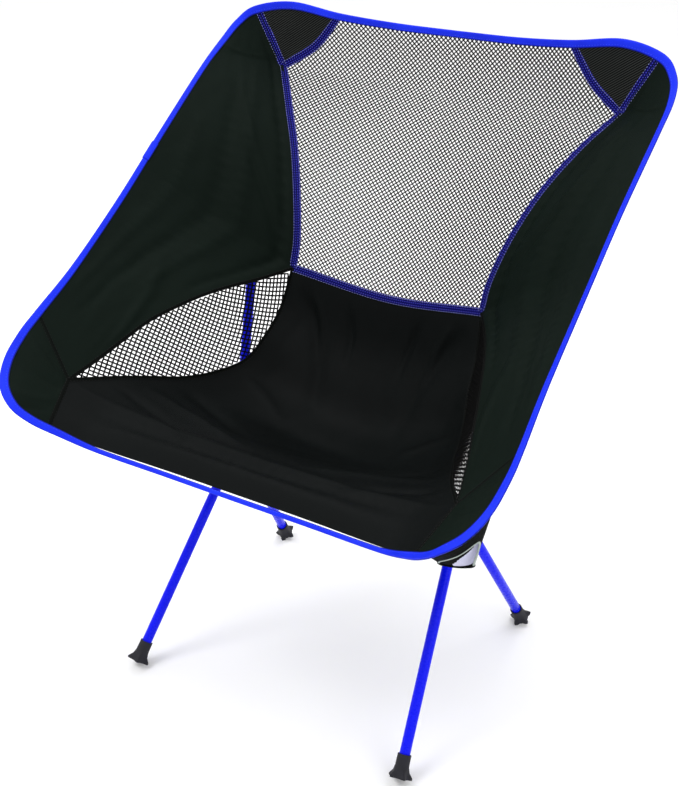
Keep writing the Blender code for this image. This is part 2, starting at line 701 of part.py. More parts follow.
# ---------------------------------------------------------------- build the frame
for side, sign in (("left", 1.0), ("right", -1.0)):
    hub(f"hub_{side}", sign)
    leg(f"front_{side}", sign, FRONT_LEG_AT)
    leg(f"rear_{side}", sign, REAR_LEG_AT)

    aim, reach = towards(sign, SEAT_POLE_END)
    pole_start = SOCKET_FLOOR + FIT_GAP
    pipe(f"seat_pole_{side}", hub_point(sign), aim, pole_start, reach - TIP_LENGTH - END_GAP,
         "blue_tube")
    pole_tip(f"seat_pole_tip_{side}", sign, aim, reach)
    pocket(f"front_pocket_{side}", sign, aim, reach, FRONT_POCKET_LENGTH,
           FRONT_POCKET_R_MOUTH)
    rod(f"seat_pole_cord_{side}", hub_point(sign), aim, pole_start,
        reach - TIP_LENGTH - TIP_CORD_SPARE, "shock_cord", CORD_R)

    aim, reach = towards(sign, BACK_POLE_END)
    pipe(f"back_pole_lower_{side}", hub_point(sign), aim, pole_start, BACK_POLE_SPLIT - END_GAP / 2,
         "blue_tube")
    pipe(f"back_pole_upper_{side}", hub_point(sign), aim, BACK_POLE_SPLIT + END_GAP / 2,
         reach - TIP_LENGTH - END_GAP, "blue_tube")
    pipe(f"back_pole_ferrule_{side}", hub_point(sign), aim, BACK_POLE_SPLIT - FERRULE_HALF,
         BACK_POLE_SPLIT + FERRULE_HALF, "ferrule_metal", PLUG_R, FERRULE_WALL)
    pole_tip(f"back_pole_tip_{side}", sign, aim, reach)
    pocket(f"top_pocket_{side}", sign, aim, reach, TOP_POCKET_LENGTH, TOP_POCKET_R_MOUTH)
    rod(f"back_pole_cord_{side}", hub_point(sign), aim, pole_start,
        reach - TIP_LENGTH - TIP_CORD_SPARE, "shock_cord", CORD_R)

bar_half = HUB_AT[0] - SOCKET_FLOOR - FIT_GAP
pipe("crossbar", hub_point(0.0), (1.0, 0.0, 0.0), -bar_half, bar_half, "blue_tube")

# ---------------------------------------------------------------- build the sling
edge = BINDING_WIDTH + PIECE_GAP
by_bend = BINDING_WIDTH + BEND_GAP
by_tape = TAPE_WIDTH / 2 + PIECE_GAP
by_fork = TAPE_WIDTH / 2 + FORK_GAP
WINDOW_FRONT_POINT = 0.016   # how far the window's cloth stops short of its two sharp ends
WINDOW_REAR_POINT = 0.018
panel("seat_panel", patches["seat"], "seat_cloth", 14, 16,
      (edge, by_tape, 2 * SEAM_GAP, 2 * SEAM_GAP), CLOTH)
panel("back_mesh", patches["back"], "black_mesh", 10, 10, (by_tape, edge, by_fork, by_fork),
      MESH_CLOTH)
for side, flip in (("left", False), ("right", True)):
    panel(f"side_panel_{side}", patches["side"], "green_black_cloth", 6, 22,
          (SEAM_GAP, by_bend, by_fork, edge), CLOTH, flip)
    panel(f"side_mesh_{side}", patches["window"], "black_mesh", 14, 3,
          (SEAM_GAP, SEAM_GAP, WINDOW_FRONT_POINT, WINDOW_REAR_POINT), MESH_CLOTH, flip)
    panel(f"corner_mesh_{side}", patches["top_corner"], "dense_mesh", 5, 5,
          (by_tape, edge, by_tape, edge), MESH_CLOTH, flip)
    panel(f"front_corner_{side}", patches["front_corner"], "green_black_cloth", 5, 5,
          (SEAM_GAP, by_bend, SEAM_GAP, by_bend), CLOTH, flip)


inner_marks = [0.0] + side_inner.marks + [1.0]
back_marks = [0.0] + back_side.marks + [1.0]


def along(patch, side, low, high):
    """Direction into a patch, for a seam that is the stretch low to high of its side."""
    def direction(t):
        return patches[patch].inward(side, low + (high - low) * t)
    return direction


tape_clear = by_tape / side_tape.length
fork_clear = by_tape / fork_tape.length
corner_clear = by_tape / corner_tape.length
for side, flip in (("left", False), ("right", True)):
    tape(f"back_tape_{side}", side_tape, (1.3 * tape_clear, 1.0 - 0.1 * tape_clear),
         along("side", "near", inner_marks[1], inner_marks[2]),
         along("back", "far", back_marks[0], back_marks[1]), "navy_tape", 22, flip)
    tape(f"fork_tape_{side}", fork_tape, (0.1 * fork_clear, 1.0 - 2.3 * fork_clear),
         along("side", "near", inner_marks[2], inner_marks[3]),
         along("top_corner", "low", 0.0, 1.0), "navy_tape", 6, flip)
    tape(f"corner_tape_{side}", corner_tape, (1.6 * corner_clear, 1.0 - 3.0 * corner_clear),
         along("top_corner", "near", 0.0, 1.0),
         along("back", "far", back_marks[1], back_marks[2]), "navy_tape", 8, flip)
tape("back_tape_bottom", back_foot, (0.0, 1.0), along("seat", "high", 0.0, 1.0),
     along("back", "low", 0.0, 1.0), "navy_tape", 18)
edge_binding()
binding_overlap()
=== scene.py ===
import math

import bmesh
import bpy
import numpy as np
from mathutils import Matrix, Vector


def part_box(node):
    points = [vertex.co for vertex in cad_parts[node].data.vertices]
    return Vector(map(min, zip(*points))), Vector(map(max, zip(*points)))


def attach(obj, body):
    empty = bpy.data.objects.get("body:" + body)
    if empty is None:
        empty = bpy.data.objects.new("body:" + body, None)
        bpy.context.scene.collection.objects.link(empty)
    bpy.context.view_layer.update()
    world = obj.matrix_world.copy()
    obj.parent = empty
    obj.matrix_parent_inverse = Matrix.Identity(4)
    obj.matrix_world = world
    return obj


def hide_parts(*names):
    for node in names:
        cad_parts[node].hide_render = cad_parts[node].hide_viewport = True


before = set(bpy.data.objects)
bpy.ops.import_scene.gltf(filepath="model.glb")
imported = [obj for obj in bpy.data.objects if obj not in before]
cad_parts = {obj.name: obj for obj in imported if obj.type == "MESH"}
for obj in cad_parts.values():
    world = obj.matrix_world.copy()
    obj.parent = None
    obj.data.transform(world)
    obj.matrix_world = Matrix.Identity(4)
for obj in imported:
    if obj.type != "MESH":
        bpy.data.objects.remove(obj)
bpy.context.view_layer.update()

slingBody = "sling_and_frame"
sides = {"left": 1.0, "right": -1.0}
bpy.ops.object.select_all(action="DESELECT")
print("frame loaded,", len(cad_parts), "nodes")


# camera and studio

camera = {"place": (0.5436, -0.9208, 0.8717), "azimuth": 30.57, "elevation": 27.15, "roll": 0.95,
          "lens": 61.72, "sensor": 36.0}


def makeCamera():
    azimuth, elevation = math.radians(camera["azimuth"]), math.radians(camera["elevation"])
    roll = math.radians(camera["roll"])
    back = Vector((math.sin(azimuth) * math.cos(elevation), -math.cos(azimuth) * math.cos(elevation),
                   math.sin(elevation)))
    level = (-back).cross(Vector((0, 0, 1))).normalized()
    upright = level.cross(-back)
    right = level * math.cos(roll) + upright * math.sin(roll)
    up = upright * math.cos(roll) - level * math.sin(roll)
    bpy.ops.object.camera_add()
    eye = bpy.context.object
    eye.name = "camera"
    turn = Matrix((right, up, back)).transposed().to_4x4()
    eye.matrix_world = Matrix.Translation(Vector(camera["place"])) @ turn
    eye.data.lens = camera["lens"]
    eye.data.sensor_fit = "HORIZONTAL"
    eye.data.sensor_width = camera["sensor"]
    eye.data.clip_start = 0.01
    bpy.context.scene.camera = eye


studio = {"floorSize": 14.0, "floorColour": (0.99, 0.99, 0.99, 1), "worldStrength": 0.96,
          "lights": [("key", (-1.3, -1.2, 2.6), 1.2, 30.0), ("top", (0.1, 0.6, 2.9), 1.8, 34.0),
                     ("fill", (2.2, -1.0, 1.3), 1.6, 8.0)]}


def makeStudio():
    bpy.ops.object.select_all(action="DESELECT")
    bpy.ops.mesh.primitive_plane_add(size=studio["floorSize"], location=(0, 0, -0.0002))
    floor = bpy.context.object
    floor.name = "floor"
    paint = bpy.data.materials.new("floor_paint")
    paint.use_nodes = True
    shader = paint.node_tree.nodes["Principled BSDF"]
    shader.inputs["Base Color"].default_value = studio["floorColour"]
    shader.inputs["Roughness"].default_value = 0.9
    floor.data.materials.append(paint)
    world = bpy.data.worlds.new("studio")
    bpy.context.scene.world = world
    world.use_nodes = True
    world.node_tree.nodes["Background"].inputs["Color"].default_value = (1, 1, 1, 1)
    world.node_tree.nodes["Background"].inputs["Strength"].default_value = studio["worldStrength"]
    for name, place, size, power in studio["lights"]:
        bpy.ops.object.light_add(type="AREA", location=place)
        lamp = bpy.context.object
        lamp.name = name
        lamp.data.size = size
        lamp.data.energy = power
        aim = Vector((0, 0, 0.35)) - Vector(place)
        lamp.rotation_euler = aim.to_track_quat("-Z", "Y").to_euler()


makeCamera()
makeStudio()
bpy.context.scene.view_settings.view_transform = "Standard"      # keeps the blue as strong as the cloth's
print("camera and studio ready")


# lines of the sling, on the sitter's left

hubHeight = 0.211                                   # height of the hub in the drawing below
barLow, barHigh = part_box("crossbar")
barMiddle = (barLow + barHigh) / 2
drawingShift = np.array([0.0, barMiddle.y, barMiddle.z - hubHeight])
heart = np.array([0.0, barMiddle.y - 0.02, barMiddle.z + 0.30])  # a point on the sitter's side of the cloth

topMid = (0.0, 0.222, 0.6445)
halfRail = [
    topMid, (0.070, 0.217, 0.6460), (0.133, 0.203, 0.6520), (0.189, 0.193, 0.6605),
    (0.232, 0.182, 0.6535), (0.250, 0.171, 0.6385), (0.257, 0.152, 0.6210), (0.258, 0.112, 0.5950),
    (0.2565, 0.032, 0.5390), (0.2565, -0.042, 0.4840), (0.2580, -0.113, 0.4350),
    (0.2620, -0.165, 0.4030), (0.2630, -0.190, 0.3880), (0.2600, -0.216, 0.3700),
    (0.2490, -0.236, 0.3520), (0.2290, -0.245, 0.3370), (0.2100, -0.238, 0.3215),
    (0.1900, -0.223, 0.3060), (0.1650, -0.210, 0.2930), (0.1300, -0.203, 0.2870),
    (0.0800, -0.200, 0.2850), (0.0, -0.199, 0.2840)]
seamCross = (0.214, -0.179, 0.343)
tapeFoot = (0.114, 0.077, 0.400)
tapeFork = (0.197, 0.186, 0.591)
sideTapePoints = [tapeFoot, (0.116, 0.088, 0.430), (0.127, 0.105, 0.472), (0.145, 0.128, 0.516),
                  (0.170, 0.155, 0.557), tapeFork]
windowTopPoints = [seamCross, (0.203, -0.139, 0.357), (0.194, -0.111, 0.369), (0.185, -0.083, 0.380),
                   (0.174, -0.053, 0.387), (0.162, -0.021, 0.392), (0.149, 0.010, 0.394),
                   (0.134, 0.042, 0.395), tapeFoot]
windowFootPoints = [seamCross, (0.189, -0.136, 0.334), (0.174, -0.102, 0.324), (0.159, -0.067, 0.313),
                    (0.146, -0.028, 0.307), (0.133, 0.010, 0.310), (0.124, 0.036, 0.331),
                    (0.119, 0.061, 0.358), tapeFoot]
backFootMid = (0.0, 0.088, 0.385)
landmarks = {"tape": (0.133, 0.203, 0.6520), "fork": (0.230, 0.183, 0.6540),
             "shoulder": (0.250, 0.171, 0.6385), "sideSeam": (0.2620, -0.165, 0.4030),
             "corner": (0.2490, -0.236, 0.3520), "frontSeam": (0.1990, -0.230, 0.3130)}
flipX = np.array([-1.0, 1.0, 1.0])


def placed(points):
    return np.array(points, float) + drawingShift


def units(vectors):
    lengths = np.linalg.norm(vectors, axis=-1, keepdims=True)
    return vectors / np.maximum(lengths, 1e-9)


class Seam:                                         # a smooth line, read by its share of length
    def __init__(self, points, steps=16, smooth=True):
        knots = np.array(points, float)
        if smooth:
            ring = np.vstack([2 * knots[0] - knots[1], knots, 2 * knots[-1] - knots[-2]])
            share = (np.arange(steps) / steps)[:, None]
            dense = []
            for a, b, c, d in zip(ring, ring[1:], ring[2:], ring[3:]):
                dense.append(0.5 * (2 * b + (c - a) * share + (2 * a - 5 * b + 4 * c - d) * share ** 2
                                    + (3 * b - a - 3 * c + d) * share ** 3))
            knots = np.vstack(dense + [knots[-1:]])
        self.points = knots
        self.run = np.concatenate([[0.0], np.cumsum(np.linalg.norm(np.diff(knots, axis=0), axis=1))])
        self.length = self.run[-1]

    def at(self, t):
        where = np.clip(t, 0.0, 1.0) * self.length
        return np.stack([np.interp(where, self.run, self.points[:, k]) for k in range(3)], axis=-1)

    def nearest(self, point):
        return self.run[np.linalg.norm(self.points - point, axis=1).argmin()] / self.length

    def part(self, start, end, steps=64):
        return Seam(self.at(np.linspace(start, end, steps)), smooth=False)

    def mirrored(self):
        return Seam(self.points * flipX, smooth=False)

    def backwards(self):
        return Seam(self.points[::-1], smooth=False)


def endToEnd(*seams):
    return Seam(np.vstack([seams[0].points] + [s.points[1:] for s in seams[1:]]), smooth=False)


class Patch:                                        # low and high run along u, near and far along v
    def __init__(self, low, high, near, far, sag=None):
        self.low, self.high, self.near, self.far, self.sag = low, high, near, far, sag

    def at(self, u, v):
        u, v = np.asarray(u, float), np.asarray(v, float)
        p, q = u[..., None], v[..., None]
        across = (1 - q) * self.low.at(u) + q * self.high.at(u)
        along = (1 - p) * self.near.at(v) + p * self.far.at(v)
        flat = ((1 - p) * (1 - q) * self.low.at(0) + p * (1 - q) * self.low.at(1)
                + (1 - p) * q * self.high.at(0) + p * q * self.high.at(1))
        found = across + along - flat
        return found if self.sag is None else found + self.sag(u, v)

    def slopes(self, u, v, step=0.01):
        du = self.at(np.minimum(u + step, 1), v) - self.at(np.maximum(u - step, 0), v)
        dv = self.at(u, np.minimum(v + step, 1)) - self.at(u, np.maximum(v - step, 0))
        return du, dv

    def normal(self, u, v):
        du, dv = self.slopes(np.clip(u, 0.03, 0.97), np.clip(v, 0.03, 0.97))
        return units(np.cross(du, dv))

    def inward(self, side, t):
        t = np.asarray(t, float)
        full = np.full_like(t, 1.0)
        u, v = {"low": (t, 0 * t), "high": (t, full), "near": (0 * t, t), "far": (full, t)}[side]
        du, dv = self.slopes(u, v, 0.02)
        ahead, into = (du, dv) if side in ("low", "high") else (dv, du)
        into = -into if side in ("high", "far") else into
        ahead = units(ahead)
        return units(into - ahead * (into * ahead).sum(-1, keepdims=True))


def alongZ(values):
    return np.stack([0 * values, 0 * values, values], axis=-1)


def seatSag(u, v):                                  # a low bowl behind a raised front roll
    across = np.sin(np.pi * np.clip(u, 0, 1)) ** 0.8
    bowl = -0.034 * np.sin(np.pi * np.clip((v - 0.10) / 0.90, 0, 1)) ** 1.2
    roll = -0.007 * np.exp(-((v - 0.17) / 0.07) ** 2)
    lift = 0.009 * np.exp(-((v - 0.055) / 0.04) ** 2)
    return alongZ(across * (bowl + roll + lift))


def backSag(u, v):
    lean = 0.012 * np.sin(np.pi * u) * np.sin(np.pi * v)
    return np.stack([0 * lean, lean, 0 * lean], axis=-1)


rail = Seam(placed(halfRail))
mark = {name: rail.nearest(placed(point)) for name, point in landmarks.items()}
forkMiddle = 0.5 * (mark["tape"] + mark["fork"])
sideTape = Seam(placed(sideTapePoints))
forkTape = Seam([sideTape.at(1), rail.at(mark["fork"])])
cornerTape = Seam([sideTape.at(1), 0.5 * (sideTape.at(1) + rail.at(mark["tape"]))
                   + np.array([-0.004, 0.003, -0.006]), rail.at(mark["tape"])])
windowTop = Seam(placed(windowTopPoints))
windowFoot = Seam(placed(windowFootPoints))
backFoot = Seam([sideTape.at(0) * flipX, placed(backFootMid), sideTape.at(0)])
sideSeam = Seam([windowTop.at(0), rail.at(mark["sideSeam"])])
frontSeam = Seam([windowTop.at(0), rail.at(mark["frontSeam"])])
backSide = endToEnd(sideTape, cornerTape)
sideInner = endToEnd(windowTop, sideTape, forkTape)
seatSide = endToEnd(frontSeam.backwards(), windowFoot)
topLine = endToEnd(rail.part(mark["tape"], 0).mirrored(), rail.part(0, mark["tape"]))
frontLine = endToEnd(rail.part(mark["frontSeam"], 1).mirrored(), rail.part(1, mark["frontSeam"]))

patches = {
    "back": Patch(backFoot, topLine, backSide.mirrored(), backSide, backSag),
    "seat": Patch(frontLine, backFoot, seatSide.mirrored(), seatSide, seatSag),
    "side": Patch(sideSeam, rail.part(mark["fork"], mark["shoulder"]), sideInner,
                  rail.part(mark["sideSeam"], mark["shoulder"])),
    "window": Patch(windowFoot, windowTop, Seam([windowTop.at(0), windowTop.at(0) + 1e-6]),
                    Seam([sideTape.at(0), sideTape.at(0) + 1e-6])),
    "topCorner": Patch(forkTape, rail.part(mark["tape"], forkMiddle), cornerTape,
                       rail.part(mark["fork"], forkMiddle)),
    "frontCorner": Patch(sideSeam, rail.part(mark["frontSeam"], mark["corner"]), frontSeam,
                         rail.part(mark["sideSeam"], mark["corner"]))}
outward = {"back": 1, "seat": 1, "side": 1, "window": -1, "topCorner": 1, "frontCorner": -1}
print("sling lines drawn")


# shader groups and finishes

def newGroup(name, inputs, outputs):
    group = bpy.data.node_groups.new(name, "ShaderNodeTree")
    for label, kind in inputs:
        group.interface.new_socket(name=label, in_out="INPUT", socket_type=kind)
    for label, kind in outputs:
        group.interface.new_socket(name=label, in_out="OUTPUT", socket_type=kind)
    return group, group.nodes.new("NodeGroupInput"), group.nodes.new("NodeGroupOutput")


def maths(tree, operation, first, second=None, third=None):
    node = tree.nodes.new("ShaderNodeMath")
    node.operation = operation
    for socket, value in zip(node.inputs, (first, second, third)):
        if value is None:
            continue
        if isinstance(value, (int, float)):
            socket.default_value = value
        else:
            tree.links.new(value, socket)
    return node.outputs[0]


def noiseOn(tree, vector, scale, detail=3.0, roughness=0.5):
    node = tree.nodes.new("ShaderNodeTexNoise")
    tree.links.new(vector, node.inputs["Vector"])
    node.inputs["Detail"].default_value = detail
    node.inputs["Roughness"].default_value = roughness
    if isinstance(scale, (int, float)):
        node.inputs["Scale"].default_value = scale
    else:
        tree.links.new(scale, node.inputs["Scale"])
    return node.outputs["Fac"]


def blendColours(tree, factor, first, second):
    node = tree.nodes.new("ShaderNodeMix")
    node.data_type = "RGBA"
    if isinstance(factor, (int, float)):
        node.inputs[0].default_value = factor
    else:
        tree.links.new(factor, node.inputs[0])
    for socket, value in ((node.inputs[6], first), (node.inputs[7], second)):
        if isinstance(value, tuple):
            socket.default_value = (*value, 1)
        else:
            tree.links.new(value, socket)
    return node.outputs[2]


def makeWeaveGroup():                               # crossing threads, high where a thread is on top
    group, entry, leave = newGroup("thread weave", [("Vector", "NodeSocketVector"),
                                                    ("Threads", "NodeSocketFloat")],
                                   [("Height", "NodeSocketFloat"), ("Gap", "NodeSocketFloat")])
    split = group.nodes.new("ShaderNodeSeparateXYZ")
    group.links.new(entry.outputs["Vector"], split.inputs[0])
    waves = []
    for axis in (0, 1):
        turns = maths(group, "MULTIPLY", split.outputs[axis], entry.outputs["Threads"])
        waves.append(maths(group, "SINE", maths(group, "MULTIPLY", turns, math.pi)))
    product = maths(group, "MULTIPLY", waves[0], waves[1])
    height = maths(group, "ABSOLUTE", product)
    group.links.new(height, leave.inputs["Height"])
    group.links.new(maths(group, "SUBTRACT", 1.0, height), leave.inputs["Gap"])
    return group


def makeWearGroup():                                # broad cloudy tone and fine specks
    group, entry, leave = newGroup("handling wear", [("Vector", "NodeSocketVector"),
                                                     ("Size", "NodeSocketFloat")],
                                   [("Cloud", "NodeSocketFloat"), ("Speck", "NodeSocketFloat")])
    cloud = noiseOn(group, entry.outputs["Vector"], entry.outputs["Size"], 4.0, 0.55)
    fine = maths(group, "MULTIPLY", entry.outputs["Size"], 24.0)
    speck = noiseOn(group, entry.outputs["Vector"], fine, 2.0, 0.6)
    group.links.new(cloud, leave.inputs["Cloud"])
    group.links.new(speck, leave.inputs["Speck"])
    return group


def makeDotGroup():                                 # staggered rows of round dots
    group, entry, leave = newGroup("staggered dots", [("Vector", "NodeSocketVector"),
                                                      ("Pitch", "NodeSocketFloat"),
                                                      ("Radius", "NodeSocketFloat")],
                                   [("Dot", "NodeSocketFloat")])
    split = group.nodes.new("ShaderNodeSeparateXYZ")
    group.links.new(entry.outputs["Vector"], split.inputs[0])
    column = maths(group, "DIVIDE", split.outputs[0], entry.outputs["Pitch"])
    parity = maths(group, "MULTIPLY", maths(group, "MODULO", maths(group, "ABSOLUTE",
                   maths(group, "FLOOR", column)), 2.0), 0.5)
    row = maths(group, "ADD", maths(group, "DIVIDE", split.outputs[1], entry.outputs["Pitch"]), parity)
    dx = maths(group, "SUBTRACT", maths(group, "FRACT", column), 0.5)
    dy = maths(group, "SUBTRACT", maths(group, "FRACT", row), 0.5)
    far = maths(group, "SQRT", maths(group, "ADD", maths(group, "MULTIPLY", dx, dx),
                                     maths(group, "MULTIPLY", dy, dy)))
    group.links.new(maths(group, "LESS_THAN", far, entry.outputs["Radius"]), leave.inputs["Dot"])
    return group


weaveGroup = makeWeaveGroup()
wearGroup = makeWearGroup()
dotGroup = makeDotGroup()


def startFinish(name, roughness, metallic=0.0, sheen=0.0, specular=0.5, coat=0.0):
    finish = bpy.data.materials.new(name)
    finish.use_nodes = True
    tree = finish.node_tree
    shader = tree.nodes["Principled BSDF"]
    shader.inputs["Roughness"].default_value = roughness
    shader.inputs["Metallic"].default_value = metallic
    shader.inputs["Sheen Weight"].default_value = sheen
    shader.inputs["Specular IOR Level"].default_value = specular
    shader.inputs["Coat Weight"].default_value = coat
    places = tree.nodes.new("ShaderNodeTexCoord")
    return finish, tree, shader, places


def useGroup(tree, group, vector, **values):
    node = tree.nodes.new("ShaderNodeGroup")
    node.node_tree = group
    tree.links.new(vector, node.inputs["Vector"])
    for label, value in values.items():
        node.inputs[label].default_value = value
    return node.outputs


def bumpTo(tree, shader, height, strength, distance):
    bump = tree.nodes.new("ShaderNodeBump")
    bump.inputs["Strength"].default_value = strength
    bump.inputs["Distance"].default_value = distance
    tree.links.new(height, bump.inputs["Height"])
    tree.links.new(bump.outputs["Normal"], shader.inputs["Normal"])


def clothFinish(name, dark, light, threads, roughness, sheen, specular=0.03):
    finish, tree, shader, places = startFinish(name, roughness, 0.0, sheen, specular)
    weave = useGroup(tree, weaveGroup, places.outputs["UV"], Threads=threads)
    wear = useGroup(tree, wearGroup, places.outputs["Object"], Size=9.0)
    tone = maths(tree, "MULTIPLY_ADD", weave["Height"], 0.45, maths(tree, "MULTIPLY",
                 wear["Cloud"], 0.55))
    tree.links.new(blendColours(tree, tone, dark, light), shader.inputs["Base Color"])
    gloss = maths(tree, "MULTIPLY_ADD", wear["Cloud"], 0.18, roughness - 0.09)
    tree.links.new(gloss, shader.inputs["Roughness"])
    height = maths(tree, "MULTIPLY_ADD", wear["Speck"], 0.35, weave["Height"])
    bumpTo(tree, shader, height, 0.55, 0.00018)
    return finish


def ribsWithPaintedHighlight(name, dark, light):                   # close mesh with ribs across the cloth; the pale grey on the rib crests is a painted highlight
    finish, tree, shader, places = startFinish(name, 0.6, 0.0, 0.0, 0.04)
    turned = tree.nodes.new("ShaderNodeMapping")
    turned.inputs["Rotation"].default_value = (0, math.radians(35), 0)
    tree.links.new(places.outputs["Object"], turned.inputs["Vector"])
    split = tree.nodes.new("ShaderNodeSeparateXYZ")
    tree.links.new(turned.outputs[0], split.inputs[0])
    ribs = maths(tree, "ABSOLUTE", maths(tree, "SINE", maths(tree, "MULTIPLY", split.outputs[2], 1500.0)))
    dots = useGroup(tree, weaveGroup, places.outputs["UV"], Threads=700.0)
    height = maths(tree, "MULTIPLY_ADD", dots["Height"], 0.5, ribs)
    # painted highlight: the rib crests are mixed towards the second, pale grey colour
    tree.links.new(blendColours(tree, maths(tree, "POWER", ribs, 3.0), dark, light),
                   shader.inputs["Base Color"])
    bumpTo(tree, shader, height, 0.9, 0.0005)
    return finish


def tapeFinish(name, ground, dot):
    finish, tree, shader, places = startFinish(name, 0.6, 0.0, 0.0, 0.05)
    dots = useGroup(tree, dotGroup, places.outputs["UV"], Pitch=0.0027, Radius=0.24)
    weave = useGroup(tree, weaveGroup, places.outputs["UV"], Threads=1500.0)
    shade = blendColours(tree, maths(tree, "MULTIPLY", weave["Gap"], 0.5), ground, (0.001, 0.001, 0.02))
    tree.links.new(blendColours(tree, dots["Dot"], shade, dot), shader.inputs["Base Color"])
    bumpTo(tree, shader, maths(tree, "ADD", dots["Dot"], weave["Height"]), 0.6, 0.0003)
    return finish


def bindingWithPaintedEdgeShade(name, deep, bright):              # ribbed band, with painted shade darkening it along its fold and its inner edge
    finish, tree, shader, places = startFinish(name, 0.5, 0.0, 0.0, 0.10)
    split = tree.nodes.new("ShaderNodeSeparateXYZ")
    tree.links.new(places.outputs["UV"], split.inputs[0])
    ribs = maths(tree, "ABSOLUTE", maths(tree, "SINE", maths(tree, "MULTIPLY", split.outputs[1], 2600.0)))
    wear = useGroup(tree, wearGroup, places.outputs["Object"], Size=22.0)
    tone = maths(tree, "MULTIPLY_ADD", ribs, 0.35, maths(tree, "MULTIPLY", wear["Cloud"], 0.65))
    band = blendColours(tree, tone, deep, bright)
    # painted shade: a dark navy line where the band turns over at the fold and where it meets the cloth
    inner = maths(tree, "GREATER_THAN", split.outputs[0], 0.90)
    fold = maths(tree, "LESS_THAN", split.outputs[0], 0.07)
    line = maths(tree, "MULTIPLY", maths(tree, "ADD", inner, fold), 0.8)
    tree.links.new(blendColours(tree, line, band, (0.0008, 0.0012, 0.10)), shader.inputs["Base Color"])
    bumpTo(tree, shader, maths(tree, "ADD", ribs, wear["Speck"]), 0.5, 0.0002)
    return finish


def grainFinish(name, dark, light, roughness, size, depth, metallic=0.0, coat=0.0, specular=0.5):
    finish, tree, shader, places = startFinish(name, roughness, metallic, 0.0, specular, coat)
    wear = useGroup(tree, wearGroup, places.outputs["Object"], Size=size)
    tree.links.new(blendColours(tree, wear["Cloud"], dark, light), shader.inputs["Base Color"])
    gloss = maths(tree, "MULTIPLY_ADD", wear["Speck"], 0.16, roughness - 0.08)
    tree.links.new(gloss, shader.inputs["Roughness"])
    bumpTo(tree, shader, wear["Speck"], 0.4, depth)
    return finish


finishes = {
    "green_black_cloth": clothFinish("green_black_cloth", (0.0022, 0.0042, 0.0030),
                                     (0.0068, 0.0122, 0.0092), 1400.0, 0.52, 0.0, 0.03),
    "seat_cloth": clothFinish("seat_cloth", (0.0018, 0.0023, 0.0023), (0.0052, 0.0066, 0.0066),
                              1700.0, 0.42, 0.0, 0.05),
    "black_mesh": grainFinish("black_mesh", (0.0012, 0.0012, 0.0012), (0.004, 0.004, 0.004), 0.65, 60.0,
                              0.00005, specular=0.05),
    # dense mesh: its pale grey second colour is the painted highlight on the rib crests
    "dense_mesh": ribsWithPaintedHighlight("dense_mesh", (0.0010, 0.0010, 0.0010), (0.030, 0.033, 0.031)),
    "hem_cloth": clothFinish("hem_cloth", (0.0012, 0.0016, 0.0013), (0.0045, 0.0056, 0.0048), 900.0,
                             0.62, 0.0),
    "pocket_cloth": clothFinish("pocket_cloth", (0.0008, 0.0011, 0.0009), (0.0034, 0.0042, 0.0036),
                                1400.0, 0.60, 0.0, 0.01),
    # painted shade: the lining is white, and its grey lavender colour is painted shade with painted blue
    # reflected light
    "pocket_lining_painted_shade": clothFinish("pocket_lining_painted_shade", (0.42, 0.42, 0.56), (0.62, 0.62, 0.80), 1400.0, 0.6,
                                 0.0, 0.3),
    "pale_piping": clothFinish("pale_piping", (0.22, 0.26, 0.24), (0.42, 0.47, 0.44), 1400.0, 0.6,
                               0.0, 0.3),
    "blue_binding": bindingWithPaintedEdgeShade("blue_binding", (0.001, 0.004, 0.34), (0.012, 0.040, 1.0)),
    "navy_tape": tapeFinish("navy_tape", (0.0012, 0.0012, 0.105), (0.055, 0.055, 0.46)),
    "black_thread": grainFinish("black_thread", (0.003, 0.003, 0.003), (0.012, 0.012, 0.012), 0.55,
                                90.0, 0.00003, specular=0.2),
    "pale_thread": grainFinish("pale_thread", (0.22, 0.24, 0.62), (0.42, 0.45, 0.85), 0.5, 90.0,
                               0.00003, specular=0.2),
    "blue_thread": grainFinish("blue_thread", (0.01, 0.03, 0.7), (0.05, 0.10, 1.0), 0.5, 90.0, 0.00003,
                               specular=0.2),
    "blue_tube": grainFinish("blue_tube", (0.0010, 0.0028, 0.66), (0.004, 0.010, 0.90), 0.28, 16.0,
                             0.000012, 0.0, 0.0, 0.12),
    "hub_plastic": grainFinish("hub_plastic", (0.004, 0.004, 0.005), (0.011, 0.011, 0.013), 0.46, 45.0,
                               0.00006, specular=0.3),
    "tip_plastic": grainFinish("tip_plastic", (0.005, 0.005, 0.006), (0.012, 0.012, 0.014), 0.42, 60.0,
                               0.00004, specular=0.3),
    "foot_rubber": grainFinish("foot_rubber", (0.006, 0.006, 0.009), (0.016, 0.016, 0.023), 0.60, 70.0,
                               0.00010, specular=0.25),
    "ferrule_metal": grainFinish("ferrule_metal", (0.50, 0.51, 0.53), (0.64, 0.65, 0.67), 0.30, 40.0,
                                 0.00002, 1.0),
    "shock_cord": clothFinish("shock_cord", (0.003, 0.003, 0.003), (0.025, 0.025, 0.025), 1600.0, 0.8,
                              0.0)}
print("finishes mixed,", len(finishes))


# mesh helpers for the soft goods

